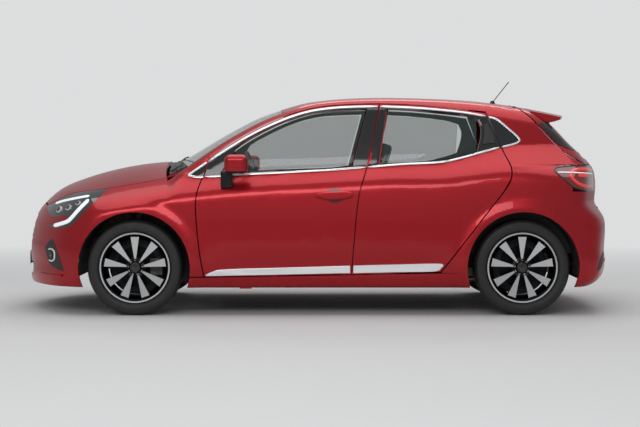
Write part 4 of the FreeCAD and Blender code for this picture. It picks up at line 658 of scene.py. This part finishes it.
# %% Lines of the window trim
BLACK_AREAS = {
    "door_front_": {
        "pillar": ([(-0.2655, 0.990), (-0.3136, 1.180), (-0.3655, 1.383)],
                   [(-0.3555, 0.991), (-0.3865, 1.135), (-0.4165, 1.276), (-0.440, 1.392)]),
        "sail": ([(0.622, 0.944), (0.555, 1.049), (0.488, 1.153)],
                 [(0.720, 0.928), (0.692, 1.026), (0.600, 1.090), (0.500, 1.153)]),
        "top": ([(0.488, 1.151), (0.426, 1.189), (0.289, 1.258), (0.154, 1.314), (0.018, 1.353),
                 (-0.117, 1.373), (-0.365, 1.383)],
                [(0.500, 1.155), (0.426, 1.199), (0.289, 1.268), (0.154, 1.324), (0.018, 1.364),
                 (-0.117, 1.384), (-0.253, 1.393), (-0.436, 1.397)]),
        "low": ([(0.718, 0.925), (0.620, 0.929), (0.426, 0.942), (0.218, 0.952), (-0.116, 0.970),
                 (-0.350, 0.988)],
                [(0.625, 0.946), (0.388, 0.957), (0.136, 0.966), (-0.116, 0.975), (-0.265, 0.992)]),
    },
    "door_rear_": {
        "pillar": ([(-0.3645, 0.991), (-0.3955, 1.135), (-0.4255, 1.276), (-0.4525, 1.392)],
                   [(-0.4435, 1.000), (-0.4714, 1.190), (-0.4995, 1.381)]),
        "corner": ([(-1.100, 1.085), (-1.127, 1.180), (-1.131, 1.250), (-1.105, 1.309)],
                   [(-1.263, 1.121), (-1.253, 1.145), (-1.213, 1.236), (-1.174, 1.328)]),
        "top": ([(-1.105, 1.308), (-0.998, 1.338), (-0.727, 1.369), (-0.499, 1.381)],
                [(-1.166, 1.330), (-0.999, 1.358), (-0.727, 1.384), (-0.456, 1.397)]),
        "low": ([(-0.366, 0.988), (-0.584, 1.007), (-0.851, 1.021), (-0.985, 1.048), (-1.119, 1.084),
                 (-1.246, 1.118)],
                [(-0.443, 1.000), (-0.584, 1.010), (-0.851, 1.026), (-0.985, 1.052), (-1.100, 1.088)]),
    },
    "body": {
        "sail": ([(0.732, 0.925), (0.785, 0.927), (0.836, 0.933)],
                 [(0.706, 1.019), (0.772, 0.978), (0.837, 0.936)]),
        "corner": ([(-1.264, 1.124), (-1.347, 1.143), (-1.388, 1.167)],
                   [(-1.186, 1.322), (-1.249, 1.302), (-1.337, 1.230), (-1.389, 1.172)]),
    },
}

CHROME_LINES = {
    "door_front_": [
        [(0.702, 1.024), (0.561, 1.117), (0.426, 1.199), (0.289, 1.268), (0.154, 1.324), (0.018, 1.364),
         (-0.117, 1.384), (-0.253, 1.393), (-0.438, 1.397)],
        [(0.722, 0.924), (0.620, 0.929), (0.426, 0.942), (0.218, 0.952), (-0.116, 0.970), (-0.354, 0.988)]],
    "door_rear_": [
        [(-0.4535, 1.397), (-0.727, 1.384), (-0.999, 1.358), (-1.166, 1.331)],
        [(-0.366, 0.989), (-0.584, 1.007), (-0.851, 1.021), (-0.985, 1.048), (-1.119, 1.084),
         (-1.252, 1.120)]],
    "body": [
        [(0.837, 0.9335), (0.775, 0.976), (0.712, 1.018)],
        [(0.835, 0.932), (0.780, 0.9225), (0.733, 0.9225)],
        [(-1.185, 1.327), (-1.249, 1.304), (-1.337, 1.230), (-1.378, 1.193), (-1.392, 1.169),
         (-1.378, 1.154), (-1.347, 1.141), (-1.268, 1.122)]],
}
print("areas", sum(map(len, BLACK_AREAS.values())), "beads", sum(map(len, CHROME_LINES.values())))

# %% [markdown]
# Both sides of the car get the same sheets and beads.

# %% Window line
for side, sign in SIDES:
    put = on_side(sign)
    for stem, areas in BLACK_AREAS.items():
        rider = stem if stem == "body" else stem + side
        for label, (low, high) in areas.items():
            sheet = patch("black_%s_%s%s" % (label, stem, side), low, high, put, 0.0015, 0.003, (40, 6))
            finished(sheet, gloss_black, rider)
    for stem, lines in CHROME_LINES.items():
        rider = stem if stem == "body" else stem + side
        for number, line in enumerate(lines):
            bead = ribbon("window_chrome_%s%s_%d" % (stem, side, number), line, 0.012, put, 0.003, 0.006, 80)
            finished(bead, chrome, rider)
print("window line done")

# %% [markdown]
# The door panes are drawn again as fine, even grids over the CAD glass, because a pane shows every
# unevenness of its mesh in its reflections.

# %% Door panes
PANES = {
    "front": ([(0.624, 0.942), (0.388, 0.953), (-0.116, 0.971), (-0.262, 0.988)],
              [(0.486, 1.156), (0.426, 1.193), (0.289, 1.262), (0.154, 1.318), (0.018, 1.357),
               (-0.117, 1.377), (-0.367, 1.387)]),
    "rear": ([(-0.440, 0.996), (-0.584, 1.006), (-0.851, 1.022), (-0.985, 1.048), (-1.102, 1.083)],
             [(-0.500, 1.385), (-0.727, 1.373), (-0.998, 1.342), (-1.107, 1.311)]),
}

for side, sign in SIDES:
    for end, (low, high) in PANES.items():
        node = "glass_%s_%s" % (end, side)
        pane = patch("pane_%s_%s" % (end, side), low, high, on_node(node, sign), -0.002, 0.004, (36, 14))
        apply_modifier(pane, "SMOOTH", factor=0.5, iterations=6)
        finished(pane, tinted, "door_%s_%s" % (end, side))
        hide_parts(node)
print("panes done")

# %% [markdown]
# The front door handle is a painted grip that stands off the door over a hollow for the fingers. The hollow
# is a flat sheet of darker red, painted shade in place of a recess.
# The rear one is a dark grip that hides in the black corner behind the pane.
# Bright strips run along the foot of both doors.

# %% Lines of the handles and strips
GRIP_LOW = [(-0.023, 0.798), (-0.082, 0.777), (-0.150, 0.775), (-0.214, 0.782), (-0.262, 0.800)]
GRIP_HIGH = [(-0.023, 0.806), (-0.049, 0.820), (-0.130, 0.829), (-0.214, 0.831), (-0.262, 0.818)]
HOLLOW_LOW = [(-0.078, 0.800), (-0.105, 0.762), (-0.142, 0.749), (-0.180, 0.760), (-0.208, 0.800)]
HOLLOW_HIGH = [(-0.078, 0.804), (-0.105, 0.838), (-0.142, 0.850), (-0.180, 0.840), (-0.208, 0.804)]
REAR_GRIP_LOW = [(-1.138, 1.140), (-1.152, 1.200), (-1.148, 1.268)]
REAR_GRIP_HIGH = [(-1.226, 1.150), (-1.214, 1.210), (-1.176, 1.284)]
STRIPS = {
    "door_front_": ([(0.710, 0.266), (0.250, 0.2745), (-0.246, 0.285)],
                    [(0.714, 0.274), (0.666, 0.296), (0.581, 0.311), (0.200, 0.322), (-0.246, 0.335)]),
    "door_rear_": ([(-0.268, 0.2855), (-0.550, 0.292), (-0.805, 0.298), (-0.858, 0.330)],
                   [(-0.268, 0.3355), (-0.550, 0.343), (-0.828, 0.349), (-0.864, 0.336)]),
}
POSTS = {"front": -0.040, "rear": -0.246}
POST_HALF, POST_HEIGHTS = 0.012, (0.794, 0.816)
print("door lines ready")

# %% [markdown]
# Two short posts carry the front grip. Every piece swings with its own door.

# %% Door handles and strips
for side, sign in SIDES:
    put = on_side(sign)
    rider = "door_front_" + side
    # The hollow is a thin sheet on the door, and its darker red is painted shade.
    hollow = patch("handle_hollow_" + rider, HOLLOW_LOW, HOLLOW_HIGH, put, 0.0008, 0.0016, (24, 10))
    finished(hollow, hollow_shade_paint, rider)
    grip = softened(patch("handle_grip_" + rider, GRIP_LOW, GRIP_HIGH, put, 0.020, 0.014, (24, 4)), 0.005, 3)
    finished(grip, paint, rider)
    for foot, spot in POSTS.items():
        low, high = ([(spot - POST_HALF, z), (spot + POST_HALF, z)] for z in POST_HEIGHTS)
        post = patch("handle_post_%s_%s" % (foot, rider), low, high, put, 0.008, 0.014, (3, 3))
        finished(softened(post, 0.003), paint, rider)
    hidden = patch("handle_grip_door_rear_" + side, REAR_GRIP_LOW, REAR_GRIP_HIGH, put, 0.006, 0.008, (16, 8))
    finished(softened(hidden, 0.003, 3), dark_plastic, "door_rear_" + side)
    for stem, (low, high) in STRIPS.items():
        strip = patch("side_strip_" + stem + side, low, high, put, 0.005, 0.010, (60, 3))
        finished(softened(strip, 0.003, 3), chrome, stem + side)
print("handles and strips done")

# %% [markdown]
# Round parts, such as lamp lenses, bolts and caps, are short cylinders that stand square on the skin.
# Their outer face is inset and sunk or raised a little.

# %% Helper for round parts
NEARBY = 0.004


def boss(name, put, spot, radius, depth, finish, rider, rim=0.0):
    """Round, domed button on the skin, with an optional ring groove."""
    centre = put(spot[0], spot[1], 0)
    beside = put(spot[0] + NEARBY, spot[1], 0)
    above = put(spot[0], spot[1] + NEARBY, 0)
    facing = (beside - centre).cross(above - centre).normalized()
    if facing.dot(put(spot[0], spot[1], 1) - centre) < 0:
        facing.negate()
    piece = added(name, bpy.ops.mesh.primitive_cylinder_add, vertices=40, radius=radius, depth=depth,
                  location=centre + facing * depth * 0.2, rotation=facing.to_track_quat("Z", "Y").to_euler())
    bpy.ops.object.mode_set(mode="EDIT")
    bpy.ops.mesh.select_all(action="DESELECT")
    bpy.ops.object.mode_set(mode="OBJECT")
    for face in piece.data.polygons:
        face.select = face.normal.z > 0.9
    bpy.ops.object.mode_set(mode="EDIT")
    if rim:
        bpy.ops.mesh.inset(thickness=rim)
        bpy.ops.mesh.inset(thickness=rim * 0.3, depth=-depth * 0.35)
    bpy.ops.mesh.inset(thickness=radius * 0.3, depth=depth * 0.15)
    bpy.ops.object.mode_set(mode="OBJECT")
    softened(piece, min(radius, depth) * 0.12)
    finished(piece, finish, rider)


print("round parts ready")

# %% [markdown]
# Front lamps have dark housings with a bright daytime strip along their edge and three round beams.
# Under each lies a black pocket with the fog lamp and a bright hook round it.

# %% Front lamps
BEAMS = ((1.715, 0.700, 0.024), (1.640, 0.715, 0.022), (1.570, 0.745, 0.018))
DAY_LINE = [(1.752, 0.592), (1.700, 0.606), (1.640, 0.626), (1.606, 0.655), (1.555, 0.712), (1.498, 0.772)]
BROW_LINE = [(1.765, 0.738), (1.700, 0.757), (1.600, 0.778), (1.500, 0.796)]
POCKET_LOW = [(1.668, 0.289), (1.763, 0.322), (1.796, 0.356), (1.816, 0.422), (1.821, 0.440)]
POCKET_HIGH = [(1.670, 0.292), (1.682, 0.336), (1.716, 0.422), (1.743, 0.489), (1.763, 0.502), (1.783, 0.489),
               (1.820, 0.446)]
HOOK_LINE = [(1.790, 0.432), (1.765, 0.438), (1.742, 0.424), (1.737, 0.396), (1.743, 0.367), (1.765, 0.355),
             (1.788, 0.361)]
LOWER_BLADE = [(1.679, 0.262), (1.780, 0.258), (1.868, 0.262)]
FOG_SPOT = (1.766, 0.396)

for side, sign in SIDES:
    put = on_side(sign)
    for number, (x, z, radius) in enumerate(BEAMS):
        label = "%s_%d" % (side, number)
        boss("beam_ring_" + label, put, (x, z), radius, 0.012, chrome, "body", radius * 0.16)
        boss("beam_lens_" + label, put, (x, z), radius * 0.72, 0.018, lamp_cover, "body")
    finished(ribbon("day_strip_" + side, DAY_LINE, 0.025, put, 0.002, 0.004, 60), daylight, "body")
    finished(ribbon("lamp_brow_" + side, BROW_LINE, 0.014, put, 0.002, 0.004, 40), daylight, "body")
    pocket = patch("fog_pocket_" + side, POCKET_LOW, POCKET_HIGH, put, 0.001, 0.002, (30, 8))
    finished(pocket, dark_plastic, "body")
    finished(ribbon("fog_hook_" + side, HOOK_LINE, 0.009, put, 0.005, 0.007, 50), chrome, "body")
    boss("fog_lamp_" + side, put, FOG_SPOT, 0.018, 0.012, lamp_cover, "body", 0.004)
    blade = ribbon("lower_blade_" + side, LOWER_BLADE, 0.016, put, 0.006, 0.012, 40)
    finished(blade, paint, "body")
print("front lamps done")

# %% [markdown]
# The rear has red lamps with a brighter hook of light, black blades beside the window,
# dark corners low in the bumper, and reflectors.

# %% Lines of the rear
BLADE_LOW = [(-1.532, 1.281), (-1.590, 1.215), (-1.652, 1.150), (-1.687, 1.129), (-1.755, 1.106),
             (-1.800, 1.091)]
BLADE_HIGH = [(-1.616, 1.304), (-1.625, 1.265), (-1.652, 1.224), (-1.687, 1.183), (-1.727, 1.143),
              (-1.806, 1.092)]
GLOW_LINE = [(-1.905, 0.968), (-1.800, 0.975), (-1.735, 0.965), (-1.714, 0.935), (-1.735, 0.900),
             (-1.775, 0.874), (-1.830, 0.860), (-1.905, 0.855)]
BLOCK_LINE = [(-1.765, 0.936), (-1.800, 0.935), (-1.840, 0.931)]
PALE_LINE = [(-1.622, 0.955), (-1.750, 0.952), (-1.905, 0.942)]
LAMP_EDGE_TOP = [(-1.602, 0.972), (-1.632, 0.989), (-1.726, 0.999), (-1.815, 1.001), (-1.930, 0.988)]
LAMP_EDGE_LOW = [(-1.602, 0.972), (-1.632, 0.937), (-1.673, 0.897), (-1.726, 0.856), (-1.794, 0.836),
                 (-1.861, 0.829), (-1.930, 0.829)]
SKIRT_LOW = [(-1.895, 0.292), (-1.930, 0.310), (-1.960, 0.345)]
SKIRT_HIGH = [(-1.897, 0.300), (-1.925, 0.380), (-1.968, 0.420)]
REFLECTOR_INNER, REFLECTOR_OUTER = 0.52, 0.62
REFLECTOR_HEIGHTS = (0.345, 0.366)
print("rear lines ready")

# %% [markdown]
# The lamp's lines are thin ribbons on its lens, and two more mark its upper and lower edge.

# %% Rear lamps and corners
# The bright red glows faintly. On the tail lamp lines that is lamp light, and on the reflectors it is painted
# light.
bright_red = Finish("bright_red", (0.75, 0.03, 0.03), 0.15, Coat_Weight=0.8, Emission_Strength=0.15)
bright_red.mottled("Emission Color", 60, (0.8, 0.04, 0.03), (1, 0.1, 0.08))
LAMP_LINES = (
    ("glow", GLOW_LINE, 0.020, bright_red),
    ("block", BLOCK_LINE, 0.024, bright_red),
    ("thread", PALE_LINE, 0.006, daylight),
    ("edge_top", LAMP_EDGE_TOP, 0.009, gloss_black),
    ("edge_low", LAMP_EDGE_LOW, 0.009, gloss_black),
)
behind = on_end(-1)
for side, sign in SIDES:
    put = on_side(sign)
    blade = patch("window_blade_" + side, BLADE_LOW, BLADE_HIGH, put, 0.002, 0.004, (30, 5))
    finished(blade, gloss_black, "tailgate")
    for label, line, width, finish in LAMP_LINES:
        strip = ribbon("tail_%s_%s" % (label, side), line, width, put, 0.002, 0.004, 60)
        finished(strip, finish, "body")
    skirt = patch("rear_skirt_" + side, SKIRT_LOW, SKIRT_HIGH, put, 0.001, 0.002, (12, 5))
    finished(skirt, dark_plastic, "body")
    # The reflectors take the glowing bright red of the lamp lines. Their glow is painted light, since a
    # reflector is no lamp.
    low, high = ([(sign * REFLECTOR_INNER, z), (sign * REFLECTOR_OUTER, z)] for z in REFLECTOR_HEIGHTS)
    reflector = patch("reflector_" + side, low, high, behind, 0.003, 0.006, (12, 3))
    finished(softened(reflector, 0.002), bright_red, "body")
print("rear lamps done")

# %% [markdown]
# Both number plates are blank. The front one is bent like the bumper bar behind it, and stays
# within the length of the car. A dark diffuser and a wiper finish the tail.

# %% Plates, diffuser and wiper
PLATE_HALF, PLATE_STAND_OFF = 0.26, 0.004
PLATE_LIMIT = cad_box[1][0] - 0.0022
BAR_HEIGHTS = (0.36, 0.38, 0.392)
DIFFUSER_LOW = [(-0.62, 0.245), (0, 0.235), (0.62, 0.245)]
DIFFUSER_HIGH = [(-0.60, 0.400), (0, 0.410), (0.60, 0.400)]
WIPER_LINE = [(0.02, 1.075), (-0.15, 1.088), (-0.34, 1.105)]
ahead = on_end(1)


def plate_spot(y, z, lift):
    """Plate bent like the bumper bar behind it."""
    reach = max(ahead(y, height, 0).x for height in BAR_HEIGHTS)
    return Vector((min(reach + PLATE_STAND_OFF, PLATE_LIMIT), y, z))


low, high = ([(-PLATE_HALF, z), (PLATE_HALF, z)] for z in (0.795, 0.905))
plate = patch("rear_plate", low, high, behind, 0.006, 0.004, (20, 4))
finished(softened(plate, 0.001), plate_white, "tailgate")
low, high = ([(-PLATE_HALF, z), (0, z), (PLATE_HALF, z)] for z in (0.300, 0.392))
plate = patch("front_plate", low, high, plate_spot, 0, 0.004, (24, 4))
finished(softened(plate, 0.001), plate_white, "body")
diffuser = patch("rear_diffuser", DIFFUSER_LOW, DIFFUSER_HIGH, behind, 0.0005, 0.002, (40, 8))
finished(diffuser, dark_plastic, "body")
wiper = ribbon("rear_wiper", WIPER_LINE, 0.014, behind, 0.014, 0.010, 30)
finished(wiper, dark_plastic, "tailgate")
boss("rear_wiper_pivot", behind, (0.02, 1.066), 0.022, 0.03, gloss_black, "tailgate")
print("plates and rear done")

# %% [markdown]
# A dark shield behind each front wheel closes the arch towards the sill.

# %% Arch shields
ARCH_SHIELD_Y = 0.45
ARCH_SHIELD_X, ARCH_SHIELD_Z = (0.776, 1.020), (0.20, 0.64)


def upright(sign):
    """Puts points on a flat wall along the car, inside its side."""
    return lambda x, z, lift: Vector((x, sign * ARCH_SHIELD_Y, z))


for side, sign in SIDES:
    low, high = ([(x, z) for x in ARCH_SHIELD_X] for z in ARCH_SHIELD_Z)
    wall = patch("arch_shield_" + side, low, high, upright(sign), 0, 0.003, (4, 10))
    finished(softened(wall, 0.001), dark_plastic, "body")
print("arch shields done")

# %% [markdown]
# Each wheel carries five bolts round a plain cap. They stand on the rim and turn with their wheel.

# %% Wheel bolts and caps
BOLT_CIRCLE, BOLTS = 0.054, 5
for end, (hub_x, hub_y) in TRACK_SPOTS.items():
    for side, sign in SIDES:
        wheel = "wheel_%s_%s" % (end, side)
        on_rim = on_node("rim_%s_%s" % (end, side), sign, 1.2, 1, hub_y)
        boss("cap_" + wheel, on_rim, (hub_x, HUB_HEIGHT), 0.033, 0.010, gloss_black, wheel, 0.004)
        for number in range(BOLTS):
            turn = math.radians(90 + 360 / BOLTS * number)
            spot = (hub_x + BOLT_CIRCLE * math.cos(turn), HUB_HEIGHT + BOLT_CIRCLE * math.sin(turn))
            boss("bolt_%s_%d" % (wheel, number), on_rim, spot, 0.009, 0.016, steel, wheel, 0.002)
print("bolts done")

# %% [markdown]
# A thin dark plastic shield behind each brake disc keeps dirt off it. It steers with its knuckle in front,
# and stays with the body at the rear.

# %% Brake shields
SHIELD_RADIUS, SHIELD_BEHIND = 0.188, 0.062
for end, (hub_x, hub_y) in TRACK_SPOTS.items():
    for side, sign in SIDES:
        shield = added("brake_shield_%s_%s" % (end, side), bpy.ops.mesh.primitive_cylinder_add, vertices=64,
                       radius=SHIELD_RADIUS, depth=0.003, rotation=(math.pi / 2, 0, 0),
                       location=(hub_x, sign * (hub_y - SHIELD_BEHIND), HUB_HEIGHT))
        softened(shield, 0.001)
        finished(shield, dark_plastic, "knuckle_" + side if end == "front" else "body")
print("brake shields done")

# %% [markdown]
# Seats are foam under cloth: every cushion is crowned, its edges are drawn in by a seam, and sewn
# channels cross it. A block is rounded, its faces are pushed out towards the middle, and
# narrow grooves are pressed in where the sewing runs.

# %% Helper for cushions
CHANNEL_DEPTH, CHANNEL_WIDTH = 0.010, 0.035
SEAM_PULL, SEAM_WIDTH = 0.012, 0.18


def pad(name, centre, size, tilt, crown, channels):
    """Upholstered cushion about a centre, leaning back by its tilt."""
    piece = added(name, bpy.ops.mesh.primitive_cube_add, size=1, location=(0, 0, 0))
    piece.scale = size
    bpy.ops.object.transform_apply(location=False, rotation=False, scale=True)
    softened(piece, min(size) * 0.30, 4)
    in_edit(piece, lambda: bpy.ops.mesh.subdivide(number_cuts=4), outward)
    half = [side_length / 2 for side_length in size]
    thin = size.index(min(size))
    wide = [axis for axis in range(3) if axis != thin]
    for vertex in piece.data.vertices:
        share = [vertex.co[axis] / half[axis] for axis in range(3)]
        middle = max(0, 1 - share[wide[0]] ** 2) * max(0, 1 - share[wide[1]] ** 2)
        lift = crown * middle
        for spot in channels:
            groove = math.exp(-((share[wide[1]] - spot) / CHANNEL_WIDTH) ** 2)
            lift -= CHANNEL_DEPTH * groove * min(1, middle * 4)
        side_seam = math.exp(-((vertex.co[thin] / half[thin]) / SEAM_WIDTH) ** 2)
        outer = math.copysign(1, vertex.co[thin])
        vertex.co[thin] += outer * lift * min(1, abs(share[thin]) * 1.5)
        for axis in wide:
            vertex.co[axis] *= 1 - SEAM_PULL * side_seam
    apply_modifier(piece, "SUBSURF", levels=1, render_levels=1)
    piece.rotation_euler = (0, tilt, 0)
    piece.location = centre
    finished(piece, cloth, "body", 60)
    return piece


print("cushion tool ready")

# %% [markdown]
# The front seats are two cushions and a head rest on two thin posts, over a plastic base.
# The bench behind them has one wide cushion and one wide back.

# %% Seats


def block(name, centre, size, bevel, finish):
    """Small moulded part with rounded edges."""
    piece = added(name, bpy.ops.mesh.primitive_cube_add, size=1, location=centre)
    piece.scale = size
    bpy.ops.object.transform_apply(location=True, rotation=True, scale=True)
    softened(piece, bevel, 3)
    finished(piece, finish, "body")


SEAT_SIDE = 0.37
POST_OFFSETS = {"a": -0.055, "b": 0.055}
LEAN = math.radians(-18)
BENCH_LEAN = math.radians(-20)
for side, sign in SIDES:
    y = sign * SEAT_SIDE
    pads = [
        pad("seat_cushion_" + side, (-0.020, y, 0.362), (0.53, 0.49, 0.13), 0, 0.012, (-0.52, 0.52)),
        pad("seat_back_" + side, (-0.354, y, 0.674), (0.112, 0.46, 0.63), LEAN, 0.012, (-0.45, 0.1, 0.6)),
        pad("seat_head_rest_" + side, (-0.482, y, 1.069), (0.085, 0.25, 0.16), LEAN, 0.008, ()),
    ]
    for piece in pads:
        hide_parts("front_seats")
    block("seat_base_" + side, (-0.010, y, 0.270), (0.42, 0.38, 0.088), 0.012, dark_plastic)
    for label, offset in POST_OFFSETS.items():
        post = added("head_rest_post_%s_%s" % (side, label), bpy.ops.mesh.primitive_cylinder_add, vertices=20,
                     radius=0.006, depth=0.09, location=(-0.455, y + offset, 0.988), rotation=(0, LEAN, 0))
        finished(softened(post, 0.001), pipe_metal, "body")
bench_pads = [
    pad("bench_cushion", (-0.830, 0, 0.402), (0.46, 1.14, 0.15), 0, 0.012, (-0.34, 0.34)),
    pad("bench_back", (-1.166, 0, 0.737), (0.112, 1.14, 0.61), BENCH_LEAN, 0.012, (-0.34, 0.34)),
]
for piece in bench_pads:
    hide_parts("rear_bench")
block("bench_foot", (-0.740, 0, 0.275), (0.20, 1.07, 0.098), 0.012, dark_plastic)
print("seats done")
